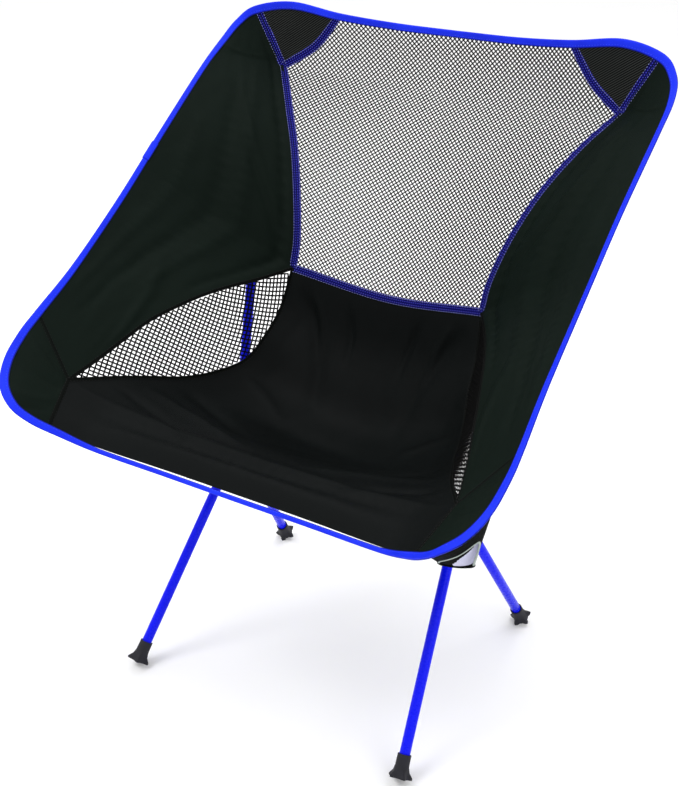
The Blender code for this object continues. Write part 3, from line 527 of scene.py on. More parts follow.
def newPiece(name, points, faces, finish, uvs=None, smooth=True):
    mesh = bpy.data.meshes.new(name)
    mesh.from_pydata([tuple(map(float, p)) for p in points], [], faces)
    if uvs is not None:
        layer = mesh.uv_layers.new(name="UVMap")
        loops = np.zeros(len(mesh.loops), np.int32)
        mesh.loops.foreach_get("vertex_index", loops)
        layer.data.foreach_set("uv", np.array(uvs, np.float32)[loops].ravel())
    shape = bmesh.new()
    shape.from_mesh(mesh)
    bmesh.ops.recalc_face_normals(shape, faces=shape.faces)
    shape.to_mesh(mesh)
    shape.free()
    if smooth:
        mesh.shade_smooth()
        mesh.set_sharp_from_angle(angle=math.radians(50))
    piece = bpy.data.objects.new(name, mesh)
    bpy.context.collection.objects.link(piece)
    mesh.materials.append(finishes[finish])
    return piece


def settle(piece, slot, *nodes, body=slingBody):    # ride and stand for the CAD nodes
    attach(piece, body)
    if nodes:
        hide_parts(*nodes)
    return piece


def gridNormals(grid, facing):
    du = np.gradient(grid, axis=1)
    dv = np.gradient(grid, axis=0)
    return units(np.cross(du, dv)) * facing


def gridRuns(grid):                                 # distances along a grid, so a weave keeps its scale
    across = np.zeros(grid.shape[:2])
    across[:, 1:] = np.cumsum(np.linalg.norm(np.diff(grid, axis=1), axis=2), axis=1)
    across -= across[:, -1:] / 2
    along = np.zeros(grid.shape[:2])
    along[1:] = np.cumsum(np.linalg.norm(np.diff(grid, axis=0), axis=2), axis=0)
    return np.stack([across, along], axis=-1)


def shell(name, grid, normals, thick, finish, wrap=False, keep=None):
    rows, columns = grid.shape[:2]
    runs = gridRuns(grid).reshape(-1, 2)
    points = np.vstack([(grid + normals * thick / 2).reshape(-1, 3),
                        (grid - normals * thick / 2).reshape(-1, 3)])
    half = rows * columns
    quads = []
    for i in range(rows - 1):
        for j in range(columns if wrap else columns - 1):
            if keep is None or keep[i, j]:
                k = (j + 1) % columns
                quads.append((i * columns + j, i * columns + k, (i + 1) * columns + k,
                              (i + 1) * columns + j))
    edges = {(q[k], q[(k + 1) % 4]) for q in quads for k in range(4)}
    faces = quads + [tuple(corner + half for corner in reversed(q)) for q in quads]
    faces += [(b, a, a + half, b + half) for a, b in sorted(edges) if (b, a) not in edges]
    used = sorted({corner for face in faces for corner in face})
    fresh = {old: new for new, old in enumerate(used)}
    faces = [tuple(fresh[corner] for corner in face) for face in faces]
    return newPiece(name, points[used], faces, finish, np.vstack([runs, runs])[used])


def foldRelief(u, v, size, folds):                  # soft ridges and valleys across a panel
    place = np.stack([u * size[0], v * size[1]], axis=-1)
    relief = np.zeros(u.shape)
    for start, end, height, width, bow in folds:
        a = np.array(start) * size
        b = np.array(end) * size
        side = np.array([-(b - a)[1], (b - a)[0]])
        best = np.full(u.shape, 1e9)
        share = np.zeros(u.shape)
        for s in np.linspace(0, 1, 25):
            point = a + (b - a) * s + side * bow * math.sin(math.pi * s)
            far = np.linalg.norm(place - point, axis=-1)
            closer = far < best
            best = np.where(closer, far, best)
            share = np.where(closer, s, share)
        relief += height * np.exp(-(best / width) ** 2) * np.sin(np.pi * (0.08 + 0.84 * share)) ** 0.6
    return relief


def fadeAtEdges(u, v, band=0.08):                   # folds die out before the seams and the binding
    def rise(t):
        share = np.clip((np.minimum(t, 1 - t) - 0.015) / band, 0, 1)
        return share * share * (3 - 2 * share)
    return rise(u) * rise(v)


def clothPanel(name, patchName, spec, finish, slot, node, sign=1.0):
    patch = patches[patchName]
    u, v = np.meshgrid(np.linspace(*spec["u"], spec["columns"]), np.linspace(*spec["v"], spec["rows"]))
    grid = patch.at(u, v)
    normals = patch.normal(u, v) * outward[patchName]
    size = (np.linalg.norm(np.diff(grid[len(grid) // 2], axis=0), axis=1).sum(),
            np.linalg.norm(np.diff(grid[:, grid.shape[1] // 2], axis=0), axis=1).sum())
    relief = foldRelief(u, v, size, spec["folds"]) * spec["depth"]
    x, y = u * size[0], v * size[1]
    ripple = 0.00012 * (np.sin(x * 150 + 60 * y + 1.7 * np.sin(y * 70)) + np.sin(y * 120 - 90 * x
                                                                         + 1.3 * np.sin(x * 90)))
    grid = grid + normals * ((relief + ripple) * fadeAtEdges(u, v))[..., None]
    normals = gridNormals(grid, outward[patchName])
    if sign < 0:
        grid, normals = grid * flipX, normals * flipX
    piece = shell(name, grid, normals, spec["thick"], finish)
    settle(piece, slot, node)
    flatSize(patch)
    panelArea(patch)
    return piece


def panelArea(patch):
    u, v = np.meshgrid(np.linspace(0, 1, 41), np.linspace(0, 1, 41))
    grid = patch.at(u, v)
    a = grid[1:, 1:] - grid[:-1, :-1]
    b = grid[1:, :-1] - grid[:-1, 1:]
    return float(np.linalg.norm(np.cross(a, b), axis=-1).sum() / 2)


def flatSize(patch):                                # greatest width and length, up to the next step
    step = 0.005
    share = np.linspace(0, 1, 81)
    grid = patch.at(*np.meshgrid(share, share))
    runs = [np.linalg.norm(np.diff(grid, axis=k), axis=2).sum(k).max() for k in (1, 0)]
    return tuple(round(math.ceil(run / step) * step, 3) for run in runs)


# woven panels

seatCut = {"u": (0.004, 0.996), "v": (0.012, 0.995), "columns": 150, "rows": 130, "thick": 0.0010,
           "depth": 1.5, "folds": [
               ((0.06, 0.96), (0.30, 0.70), -0.0026, 0.011, 0.10),
               ((0.13, 0.97), (0.24, 0.82), 0.0018, 0.006, 0.05),
               ((0.94, 0.96), (0.68, 0.72), -0.0026, 0.011, -0.10),
               ((0.86, 0.97), (0.74, 0.82), 0.0018, 0.006, -0.05),
               ((0.30, 0.97), (0.36, 0.84), -0.0018, 0.006, 0.08),
               ((0.70, 0.97), (0.62, 0.84), -0.0018, 0.006, -0.08),
               ((0.03, 0.34), (0.40, 0.22), 0.0020, 0.008, 0.05),
               ((0.97, 0.34), (0.60, 0.22), 0.0020, 0.008, -0.05),
               ((0.03, 0.46), (0.34, 0.34), -0.0022, 0.010, 0.06),
               ((0.97, 0.46), (0.66, 0.34), -0.0022, 0.010, -0.06),
               ((0.02, 0.26), (0.30, 0.15), -0.0018, 0.006, 0.04),
               ((0.98, 0.26), (0.70, 0.15), -0.0018, 0.006, -0.04),
               ((0.10, 0.10), (0.88, 0.12), -0.0016, 0.007, -0.02),
               ((0.20, 0.55), (0.72, 0.50), -0.0020, 0.016, 0.05),
               ((0.03, 0.66), (0.24, 0.60), 0.0016, 0.007, 0.06),
               ((0.97, 0.66), (0.76, 0.60), 0.0016, 0.007, -0.06)]}
sideCut = {"u": (0.002, 0.995), "v": (0.002, 0.995), "columns": 60, "rows": 220, "thick": 0.0010,
           "depth": 1.3, "folds": [
               ((0.10, 0.30), (0.16, 0.92), -0.0022, 0.008, 0.02),
               ((0.34, 0.22), (0.36, 0.84), 0.0016, 0.010, -0.02),
               ((0.58, 0.10), (0.56, 0.78), -0.0020, 0.012, 0.02),
               ((0.80, 0.14), (0.78, 0.66), 0.0014, 0.010, 0.01),
               ((0.06, 0.44), (0.40, 0.66), -0.0018, 0.007, 0.05),
               ((0.04, 0.10), (0.46, 0.30), 0.0016, 0.009, 0.04),
               ((0.10, 0.54), (0.50, 0.80), 0.0014, 0.007, -0.04),
               ((0.06, 0.90), (0.93, 0.915), 0.0011, 0.0026, -0.06)]}
frontCornerCut = {"u": (0.002, 0.995), "v": (0.002, 0.995), "columns": 44, "rows": 44, "thick": 0.0011,
                  "depth": 1.3, "folds": [
                      ((0.02, 0.10), (0.85, 0.22), 0.0012, 0.004, 0.05),
                      ((0.02, 0.25), (0.85, 0.50), -0.0012, 0.004, 0.05),
                      ((0.02, 0.45), (0.70, 0.82), 0.0010, 0.004, 0.04),
                      ((0.10, 0.70), (0.50, 0.90), -0.0009, 0.003, 0.0)]}
topCornerCut = {"u": (0.01, 0.985), "v": (0.01, 0.985), "columns": 40, "rows": 40, "thick": 0.0009,
                "depth": 1.0, "folds": [((0.1, 0.2), (0.8, 0.7), -0.0008, 0.006, 0.05)]}

clothPanel("seat_cloth_panel", "seat", seatCut, "seat_cloth", "seat_cloth", "seat_panel")
for side, sign in sides.items():
    clothPanel(f"side_cloth_{side}", "side", sideCut, "green_black_cloth", "green_black_cloth",
               f"side_panel_{side}", sign)
    clothPanel(f"front_patch_{side}", "frontCorner", frontCornerCut, "green_black_cloth",
               "green_black_cloth", f"front_corner_{side}", sign)
    clothPanel(f"top_patch_{side}", "topCorner", topCornerCut, "dense_mesh", "dense_mesh",
               f"corner_mesh_{side}", sign)
print("cloth panels sewn")


# open mesh, made of crossing strands

net = {"backPitch": 0.0036, "windowPitch": 0.0046, "backStrand": 0.00122, "windowStrand": 0.00165,
       "backReach": 0.36, "windowReach": 0.20, "slant": math.radians(45),
       "strandThick": 0.00060,
       "sway": 0.00022, "samples": 161}


def surfaceTable(patch, facing):
    share = np.linspace(0, 1, net["samples"])
    u, v = np.meshgrid(share, share)
    grid = patch.at(u, v)
    return grid, patch.normal(u, v) * facing


def readTable(table, u, v):
    last = net["samples"] - 1
    x, y = np.clip(u, 0, 1) * last, np.clip(v, 0, 1) * last
    i, j = np.minimum(y.astype(int), last - 1), np.minimum(x.astype(int), last - 1)
    p, q = (x - j)[:, None], (y - i)[:, None]
    return ((1 - p) * (1 - q) * table[i, j] + p * (1 - q) * table[i, j + 1]
            + (1 - p) * q * table[i + 1, j] + p * q * table[i + 1, j + 1])


def addStrand(points, normals, width, store):
    ahead = units(np.gradient(points, axis=0))
    across = units(np.cross(normals, ahead))
    half, deep = width / 2, net["strandThick"] / 2
    first = len(store["points"])
    for p, a, n in zip(points, across, normals):
        store["points"] += [p + a * half + n * deep, p - a * half + n * deep,
                            p - a * half - n * deep, p + a * half - n * deep]
    count = len(points)
    for k in range(count - 1):
        for i in range(4):
            j = (i + 1) % 4
            base = first + 4 * k
            store["faces"].append((base + i, base + j, base + 4 + j, base + 4 + i))
    store["faces"].append((first + 3, first + 2, first + 1, first))
    end = first + 4 * (count - 1)
    store["faces"].append((end, end + 1, end + 2, end + 3))


def netPanel(name, patchName, pitch, strand, toShares, reach, node, sign=1.0):
    facing = outward[patchName]
    places, faces = surfaceTable(patches[patchName], facing)
    store = {"points": [], "faces": []}
    slant = net["slant"]
    step = pitch / math.sin(2 * slant)
    count = int(reach / pitch) + 2
    for family in (1, -1):
        way = np.array([math.cos(slant) * family, math.sin(slant)])
        square = np.array([-way[1], way[0]])
        for k in range(-count, count + 1):
            along = np.arange(-count, count + 1) * step
            spots = square * k * pitch + along[:, None] * way
            u, v, inside = toShares(spots[:, 0], spots[:, 1])
            runs = np.flatnonzero(inside)
            for run in np.split(runs, np.flatnonzero(np.diff(runs) > 1) + 1):
                if len(run) < 2:
                    continue
                p = readTable(places, u[run], v[run])
                n = units(readTable(faces, u[run], v[run]))
                lift = np.where((run + k) % 2 == 0, 1.0, -1.0) * family * net["sway"]
                addStrand((p + n * lift[:, None]) * ([1, 1, 1] if sign > 0 else flipX),
                          n * ([1, 1, 1] if sign > 0 else flipX), strand, store)
    piece = newPiece(name, store["points"], store["faces"], "black_mesh", smooth=False)
    settle(piece, "black_mesh", node)
    patch = patches[patchName]
    flatSize(patch)
    panelArea(patch)
    return piece


backTable, _ = surfaceTable(patches["back"], 1)
backMiddle = backTable[:, net["samples"] // 2]
backRun = np.concatenate([[0.0], np.cumsum(np.linalg.norm(np.diff(backMiddle, axis=0), axis=1))])
backEdge = backTable[:, -1, 0]


def backShares(x, height):                          # from flat cloth to the back panel's own shares
    up = height + backRun[-1] / 2
    v = np.interp(up, backRun, np.linspace(0, 1, net["samples"]))
    wide = np.interp(v, np.linspace(0, 1, net["samples"]), backEdge)
    u = 0.5 + 0.5 * x / wide
    return u, v, (u > 0) & (u < 1) & (up > 0) & (up < backRun[-1] - 0.002)


windowTable, _ = surfaceTable(patches["window"], -1)
windowMiddle = windowTable[net["samples"] // 2]
windowRun = np.concatenate([[0.0], np.cumsum(np.linalg.norm(np.diff(windowMiddle, axis=0), axis=1))])
windowTall = np.linalg.norm(windowTable[-1] - windowTable[0], axis=1)


def windowShares(x, height):
    ahead = x + windowRun[-1] / 2
    u = np.interp(ahead, windowRun, np.linspace(0, 1, net["samples"]))
    tall = np.interp(u, np.linspace(0, 1, net["samples"]), windowTall)
    v = 0.5 + height / np.maximum(tall, 1e-6)
    return u, v, (v > 0) & (v < 1) & (ahead > 0) & (ahead < windowRun[-1])


netPanel("back_net", "back", net["backPitch"], net["backStrand"], backShares, net["backReach"],
         "back_mesh")
for side, sign in sides.items():
    netPanel(f"window_net_{side}", "window", net["windowPitch"], net["windowStrand"], windowShares,
             net["windowReach"], f"side_mesh_{side}", sign)
print("nets knotted")


# tapes, hems and stitching

tapes = {"width": 0.0090, "thick": 0.0017, "hemWidth": 0.0042, "hemThick": 0.0018,
         "stitchPitch": 0.0031, "stitchLong": 0.0021, "stitchR": 0.00028, "stitchOut": 0.40,
         "stitchLift": 0.55, "crown": 0.22, "columns": 9}


def seamFrames(seam, start, end, steps, leftOf, rightOf):
    t = np.linspace(start, end, steps)
    middle = seam.at(t)
    ahead = units(seam.at(np.minimum(t + 0.01, 1)) - seam.at(np.maximum(t - 0.01, 0)))
    toLeft, toRight = leftOf(t), rightOf(t)
    up = units(units(np.cross(ahead, toLeft)) + units(np.cross(toRight, ahead)))
    return t, middle, ahead, toLeft, toRight, up


def bandAlong(name, frames, width, thick, finish, sign=1.0):
    _, middle, _, toLeft, toRight, up = frames
    share = np.linspace(-1, 1, tapes["columns"])
    rows = []
    for s in share:
        arm = toLeft * (-s) if s < 0 else toRight * s
        crown = thick * tapes["crown"] * (1 - s * s)
        rows.append(middle + arm * width / 2 + up * crown)
    grid = np.stack(rows, axis=1)
    normals = gridNormals(grid, 1)
    if (normals * up[:, None]).sum() < 0:
        normals = -normals
    edge = (1 - 0.55 * np.abs(share) ** 6)[None, :, None]
    if sign < 0:
        grid, normals = grid * flipX, normals * flipX
    return shell(name, grid, normals * edge, thick, finish)


def stitchRow(name, line, lift, finish, sign=1.0):
    seam = Seam(line, smooth=False)
    count = max(int(seam.length / tapes["stitchPitch"]), 2)
    share = (np.arange(count) + 0.5) / count
    places = seam.at(share)
    ahead = units(seam.at(share + 0.002) - seam.at(share - 0.002))
    index = np.clip((share * (len(line) - 1)).round().astype(int), 0, len(line) - 1)
    up = units(lift[index])
    side = units(np.cross(up, ahead))
    half, radius = tapes["stitchLong"] / 2, tapes["stitchR"]
    points, faces = [], []
    for p, a, n, s in zip(places, ahead, up, side):
        base = len(points)
        points += [p - a * half, p + a * half, p + n * radius, p + s * radius, p - n * radius,
                   p - s * radius]
        for i in range(4):
            j = 2 + (i + 1) % 4
            faces += [(base, base + j, base + 2 + i), (base + 1, base + 2 + i, base + j)]
    points = np.array(points) * (flipX if sign < 0 else np.ones(3))
    piece = newPiece(name, points, faces, finish)
    return settle(piece, {"black_thread": "green_black_cloth", "pale_thread": "navy_tape",
                          "blue_thread": "blue_binding"}[finish])


def insideOf(patchName, side, low=0.0, high=1.0):
    return lambda t: patches[patchName].inward(side, low + (high - low) * t)


def marksOf(*seams):
    runs = np.cumsum([s.length for s in seams])
    return np.concatenate([[0.0], runs / runs[-1]])


innerMarks = marksOf(windowTop, sideTape, forkTape)
backMarks = marksOf(sideTape, cornerTape)
seatMarks = marksOf(frontSeam, windowFoot)

seamPlan = [   # piece, seam, span, cloth on its left and right, finish, node it stands for, steps
    ("navy_side_tape", sideTape, (0.0, 1.0), insideOf("side", "near", innerMarks[1], innerMarks[2]),
     insideOf("back", "far", backMarks[0], backMarks[1]), "navy_tape", "back_tape", 110),
    ("navy_fork_tape", forkTape, (0.0, 0.97), insideOf("side", "near", innerMarks[2], innerMarks[3]),
     insideOf("topCorner", "low"), "navy_tape", "fork_tape", 40),
    ("navy_corner_tape", cornerTape, (0.0, 0.97), insideOf("topCorner", "near"),
     insideOf("back", "far", backMarks[1], backMarks[2]), "navy_tape", "corner_tape", 50),
    ("window_hem_top", windowTop, (0.0, 1.0), insideOf("side", "near", innerMarks[0], innerMarks[1]),
     insideOf("window", "high"), "hem_cloth", None, 140),
    ("window_hem_foot", windowFoot, (0.0, 1.0), insideOf("window", "low"),
     insideOf("seat", "far", seatMarks[1], seatMarks[2]), "hem_cloth", None, 140),
    ("front_side_seam", sideSeam, (0.0, 0.97), insideOf("frontCorner", "low"), insideOf("side", "low"),
     "hem_cloth", None, 40),
    ("front_roll_seam", frontSeam, (0.0, 0.95), insideOf("frontCorner", "near"),
     insideOf("seat", "far", seatMarks[1], seatMarks[0]), "hem_cloth", None, 40)]


def sewSeams():
    for side, sign in sides.items():
        for name, seam, span, leftOf, rightOf, finish, node, steps in seamPlan:
            navy = finish == "navy_tape"
            width = tapes["width"] if navy else tapes["hemWidth"]
            thick = tapes["thick"] if navy else tapes["hemThick"]
            frames = seamFrames(seam, *span, steps, leftOf, rightOf)
            band = bandAlong(f"{name}_{side}", frames, width, thick, finish, sign)
            slot = "navy_tape" if navy else "green_black_cloth"
            settle(band, slot, *([f"{node}_{side}"] if node else []))
            _, middle, _, toLeft, toRight, up = frames
            top = up * inwardSign(middle, up)[:, None]
            for row, arm in (("a", toLeft), ("b", toRight)):
                line = middle + arm * width * tapes["stitchOut"] + top * thick * tapes["stitchLift"]
                stitchRow(f"{name}_stitch_{row}_{side}", line, top,
                          "pale_thread" if navy else "black_thread", sign)


def inwardSign(middle, up):                         # +1 where up faces the sitter's side of the sling
    return np.where(((heart - middle) * up).sum(-1) < 0, -1.0, 1.0)


sewSeams()
bottomFrames = seamFrames(backFoot, 0.0, 1.0, 150, insideOf("seat", "high"), insideOf("back", "low"))
bottomBand = bandAlong("navy_bottom_tape", bottomFrames, tapes["width"], tapes["thick"], "navy_tape")
settle(bottomBand, "navy_tape", "back_tape_bottom")
for row, arm in (("a", bottomFrames[3]), ("b", bottomFrames[4])):
    lifted = bottomFrames[5] * inwardSign(bottomFrames[1], bottomFrames[5])[:, None]
    line = (bottomFrames[1] + arm * tapes["width"] * tapes["stitchOut"]
            + lifted * tapes["thick"] * tapes["stitchLift"])
    stitchRow(f"navy_bottom_stitch_{row}", line, lifted, "pale_thread")
print("tapes and hems stitched")


# folded edge binding

binding = {"widths": [(0.0, 0.0072), (mark["tape"], 0.0078), (mark["fork"], 0.0090),
                      (mark["shoulder"] + 0.06, 0.0060), (mark["sideSeam"] - 0.08, 0.0064),
                      (mark["corner"], 0.0094), (mark["frontSeam"], 0.0080),
                      (mark["frontSeam"] + 0.05, 0.0048), (1.0, 0.0048)],
           "thick": 0.0027, "loopSteps": 240, "sectionSteps": 7, "lapStart": 0.430,
           "lapShare": 0.016, "lapGrow": 0.0008, "lapWide": 1.08, "stitchIn": 0.72,
           "stitchLift": 0.50, "smoothing": 14}
railSpans = [("back", "high", 0.0, mark["tape"], 0.5, 1.0),
             ("topCorner", "high", mark["tape"], forkMiddle, 0.0, 1.0),
             ("topCorner", "far", forkMiddle, mark["fork"], 1.0, 0.0),
             ("side", "high", mark["fork"], mark["shoulder"], 0.0, 1.0),
             ("side", "far", mark["shoulder"], mark["sideSeam"], 1.0, 0.0),
             ("frontCorner", "far", mark["sideSeam"], mark["corner"], 0.0, 1.0),
             ("frontCorner", "high", mark["corner"], mark["frontSeam"], 1.0, 0.0),
             ("seat", "low", mark["frontSeam"], 1.0, 1.0, 0.5)]


def railInward(t):
    for patchName, side, start, end, first, last in railSpans:
        if start <= t <= end:
            local = first + (last - first) * (t - start) / (end - start)
            return patches[patchName].inward(side, np.clip(local, 0.04, 0.96))


def bindingFrames():
    half = np.linspace(0, 1, binding["loopSteps"] + 1)
    points = rail.at(half)
    into = np.array([railInward(t) for t in half])
    points = np.vstack([points, points[-2:0:-1] * flipX])
    into = np.vstack([into, into[-2:0:-1] * flipX])
    for _ in range(binding["smoothing"]):
        into = units(into + np.roll(into, 1, axis=0) + np.roll(into, -1, axis=0))
    ahead = units(np.roll(points, -1, axis=0) - np.roll(points, 1, axis=0))
    into = units(into - ahead * (into * ahead).sum(-1, keepdims=True))
    return points, into, units(np.cross(ahead, into))


def foldSection(width, grow=0.0):                   # deep, lift and share from the fold to the inner edge
    radius = binding["thick"] / 2 + grow
    turn = np.linspace(-math.pi / 2, math.pi / 2, binding["sectionSteps"])
    rounded = [(radius - grow - radius * math.cos(a), radius * math.sin(a), 0.3 * abs(a)) for a in turn]
    leaf = radius * 0.92
    return rounded + [(width * 0.6, leaf * 1.04, 0.7), (width * 0.88, leaf * 0.95, 0.89),
                      (width, leaf * 0.80, 1.0), (width, -leaf * 0.80, 1.0),
                      (width * 0.88, -leaf * 0.95, 0.89), (width * 0.6, -leaf * 1.04, 0.7)]


def bindingWidths():                                # the band's width at each step round the loop
    half = np.linspace(0, 1, binding["loopSteps"] + 1)
    spots, widths = zip(*binding["widths"])
    wide = np.interp(half, spots, widths)
    return np.concatenate([wide, wide[-2:0:-1]])


def sweepFold(name, points, into, up, widths, closed, grow=0.0):
    rings = len(points)
    runs = np.concatenate([[0.0], np.cumsum(np.linalg.norm(np.diff(points, axis=0), axis=1))])
    cloud, uvs, faces = [], [], []
    for p, i, n, run, width in zip(points, into, up, runs, widths):
        section = foldSection(width, grow)
        for deep, lift, share in section:
            cloud.append(p + i * deep + n * lift)
            uvs.append((share, run))
    wide = len(section)
    for r in range(rings if closed else rings - 1):
        for k in range(wide):
            a, b = r * wide + k, r * wide + (k + 1) % wide
            c, d = (r + 1) % rings * wide + (k + 1) % wide, (r + 1) % rings * wide + k
            faces.append((a, b, c, d))
    if not closed:
        faces.append(tuple(range(wide)))
        faces.append(tuple((rings - 1) * wide + k for k in reversed(range(wide))))
    return newPiece(name, cloud, faces, "blue_binding", uvs)


edgePoints, edgeInto, edgeUp = bindingFrames()
edgeWidths = bindingWidths()
band = sweepFold("blue_edge_binding", edgePoints, edgeInto, edgeUp, edgeWidths, True)
settle(band, "blue_binding", "edge_binding")
lapRows = [2 * binding["loopSteps"] - k for k in
           range(int(binding["lapStart"] * binding["loopSteps"]),
                 int((binding["lapStart"] + binding["lapShare"]) * binding["loopSteps"]) + 2)][::-1]
lap = sweepFold("binding_lap", edgePoints[lapRows], edgeInto[lapRows], edgeUp[lapRows],
                edgeWidths[lapRows] * binding["lapWide"], False, binding["lapGrow"])
settle(lap, "blue_binding", "binding_overlap")
for face, turn in (("inner", 1.0), ("outer", -1.0)):
    line = (edgePoints + edgeInto * edgeWidths[:, None] * binding["stitchIn"]
            + edgeUp * turn * binding["thick"] * binding["stitchLift"])
    stitchRow(f"binding_stitch_{face}", np.vstack([line, line[:1]]),
              np.vstack([edgeUp, edgeUp[:1]]) * turn, "blue_thread")
print("binding folded")


# tubes, hubs and feet

tube = {"radius": 0.0055, "wall": 0.0008, "sides": 40, "rim": 0.00025}


def nodeLine(node):                                 # the two ends of a straight CAD node
    points = np.array([v.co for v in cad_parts[node].data.vertices], float)
    middle = points.mean(0)
    axis = np.linalg.svd(points - middle, full_matrices=False)[2][0]
    runs = (points - middle) @ axis
    return middle + axis * runs.min(), middle + axis * runs.max()


def bakePlace(piece):                               # an object's place goes into its mesh
    bpy.context.view_layer.update()
    piece.data.transform(piece.matrix_world)
    piece.matrix_world = Matrix.Identity(4)


def makeTube(name, node, finish, body, radius, wall):
    start, end = nodeLine(node)
    aim = Vector(end - start)
    bpy.ops.object.select_all(action="DESELECT")
    bpy.ops.mesh.primitive_cylinder_add(vertices=tube["sides"], radius=radius, depth=aim.length,
                                        end_fill_type="NOTHING", location=Vector((start + end) / 2),
                                        rotation=aim.to_track_quat("Z", "Y").to_euler())
    piece = bpy.context.object
    piece.name = name
    bpy.ops.object.modifier_add(type="SOLIDIFY")
    piece.modifiers[-1].thickness = wall
    piece.modifiers[-1].offset = -1
    bpy.ops.object.modifier_apply(modifier=piece.modifiers[-1].name)
    bpy.ops.object.modifier_add(type="BEVEL")
    piece.modifiers[-1].width = tube["rim"]
    piece.modifiers[-1].segments = 2
    piece.modifiers[-1].limit_method = "ANGLE"
    bpy.ops.object.modifier_apply(modifier=piece.modifiers[-1].name)
    bpy.ops.object.shade_smooth_by_angle(angle=math.radians(40))
    bakePlace(piece)
    piece.data.materials.append(finishes[finish])
    return settle(piece, finish, node, body=body)


def finerCopy(name, node, finish, body, bevel):
    piece = bpy.data.objects.new(name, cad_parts[node].data.copy())
    bpy.context.collection.objects.link(piece)
    piece.data.materials.clear()
    piece.data.materials.append(finishes[finish])
    bpy.ops.object.select_all(action="DESELECT")
    piece.select_set(True)
    bpy.context.view_layer.objects.active = piece
    bpy.ops.object.mode_set(mode="EDIT")
    bpy.ops.mesh.select_all(action="SELECT")
    bpy.ops.mesh.remove_doubles(threshold=0.00001)
    bpy.ops.mesh.tris_convert_to_quads()
    bpy.ops.object.mode_set(mode="OBJECT")
    if bevel:
        bpy.ops.object.modifier_add(type="BEVEL")
        piece.modifiers[-1].width = bevel
        piece.modifiers[-1].segments = 2
        piece.modifiers[-1].limit_method = "ANGLE"
        piece.modifiers[-1].angle_limit = math.radians(38)
        bpy.ops.object.modifier_apply(modifier=piece.modifiers[-1].name)
    bpy.ops.object.shade_smooth_by_angle(angle=math.radians(38))
    return settle(piece, finish, node, body=body)


makeTube("blue_crossbar", "crossbar", "blue_tube", slingBody, tube["radius"], tube["wall"])
for side in sides:
    for corner in ("front", "rear"):
        makeTube(f"blue_leg_{corner}_{side}", f"leg_{corner}_{side}", "blue_tube",
                 f"{corner}_{side}_leg", tube["radius"], tube["wall"])
        finerCopy(f"star_foot_{corner}_{side}", f"foot_{corner}_{side}", "foot_rubber",
                  f"{corner}_{side}_leg", 0.0004)
        finerCopy(f"elastic_leg_{corner}_{side}", f"leg_cord_{corner}_{side}", "shock_cord", slingBody, 0)
    makeTube(f"blue_seat_pole_{side}", f"seat_pole_{side}", "blue_tube", slingBody, tube["radius"],
             tube["wall"])
    for part in ("lower", "upper"):
        makeTube(f"blue_back_pole_{part}_{side}", f"back_pole_{part}_{side}", "blue_tube", slingBody,
                 tube["radius"], tube["wall"])
    finerCopy(f"inner_ferrule_{side}", f"back_pole_ferrule_{side}", "ferrule_metal", slingBody, 0)
    finerCopy(f"five_way_hub_{side}", f"hub_{side}", "hub_plastic", slingBody, 0.0003)
    for part in ("seat", "back"):
        finerCopy(f"{part}_tip_{side}", f"{part}_pole_tip_{side}", "tip_plastic", slingBody, 0)
        finerCopy(f"elastic_{part}_{side}", f"{part}_pole_cord_{side}", "shock_cord", slingBody, 0)
print("frame dressed")


# pockets that hold the pole tips

pockets = {"around": 64, "rows": 40, "wall": 0.0009, "slotRound": 0.0072,
           "topLong": 0.054, "topMouth": (0.0112, 0.0100), "topEnd": 0.0079,
           "cornerSpan": (-0.038, 0.042), "cornerIn": 0.0045,
           "mouthAt": (-0.0075, 0.0150, -0.0285), "mouthWide": (0.0130, 0.0058, 0.0),
           "mouthDeep": (0.0045, -0.0120, 0.0115), "nearCut": 0.62, "pipingR": 0.0010, "hemR": 0.0017}


def poleEnd(pole, side):                            # the tip's far end, and the way back to the hub
    start, end = nodeLine(f"{pole}_pole_tip_{side}")
    if np.linalg.norm(start) > np.linalg.norm(end):
        start, end = end, start
    return end, units(start - end)


def lineSleeve(piece, outside):                     # inner walls follow the outer ones in the mesh
    # the inner walls take the white lining's colour with its painted shade and painted blue reflected light
    piece.data.materials.append(finishes["pocket_lining_painted_shade"])
    for face in piece.data.polygons[outside:2 * outside]:
        face.material_index = 1


def makeTopPocket(side):
    end, back = poleEnd("back", side)
    level = units(np.cross(back, np.array([0.0, 0.0, 1.0])))
    deep = np.cross(back, level)
    around = np.linspace(0, 2 * math.pi, pockets["around"], endpoint=False)
    rows = []
    for s in np.linspace(0, 1, pockets["rows"]):
        swell = (1 - s) ** 1.2
        wide, tall = (pockets["topEnd"] + (mouth - pockets["topEnd"]) * swell
                      for mouth in pockets["topMouth"])
        close = math.sqrt(max(1 - (max(s - 0.93, 0) / 0.07) ** 2 * 0.95, 0.04))
        hem = 0.0005 if s < 0.06 else 0.0
        pucker = 1 + 0.02 * np.sin(around * 7 + s * 9)
        centre = end - back * 0.0015 + back * pockets["topLong"] * (1 - s)
        rows.append(centre + np.outer(np.cos(around) * pucker, level * (wide + hem) * close)
                    + np.outer(np.sin(around) * pucker, deep * (tall + hem) * close))
    grid = np.array(rows)
    spokes = units(grid - grid.mean(1, keepdims=True))
    piece = shell(f"top_pocket_sleeve_{side}", grid, spokes, pockets["wall"], "pocket_cloth", wrap=True)
    settle(piece, "pocket_cloth", f"top_pocket_{side}")


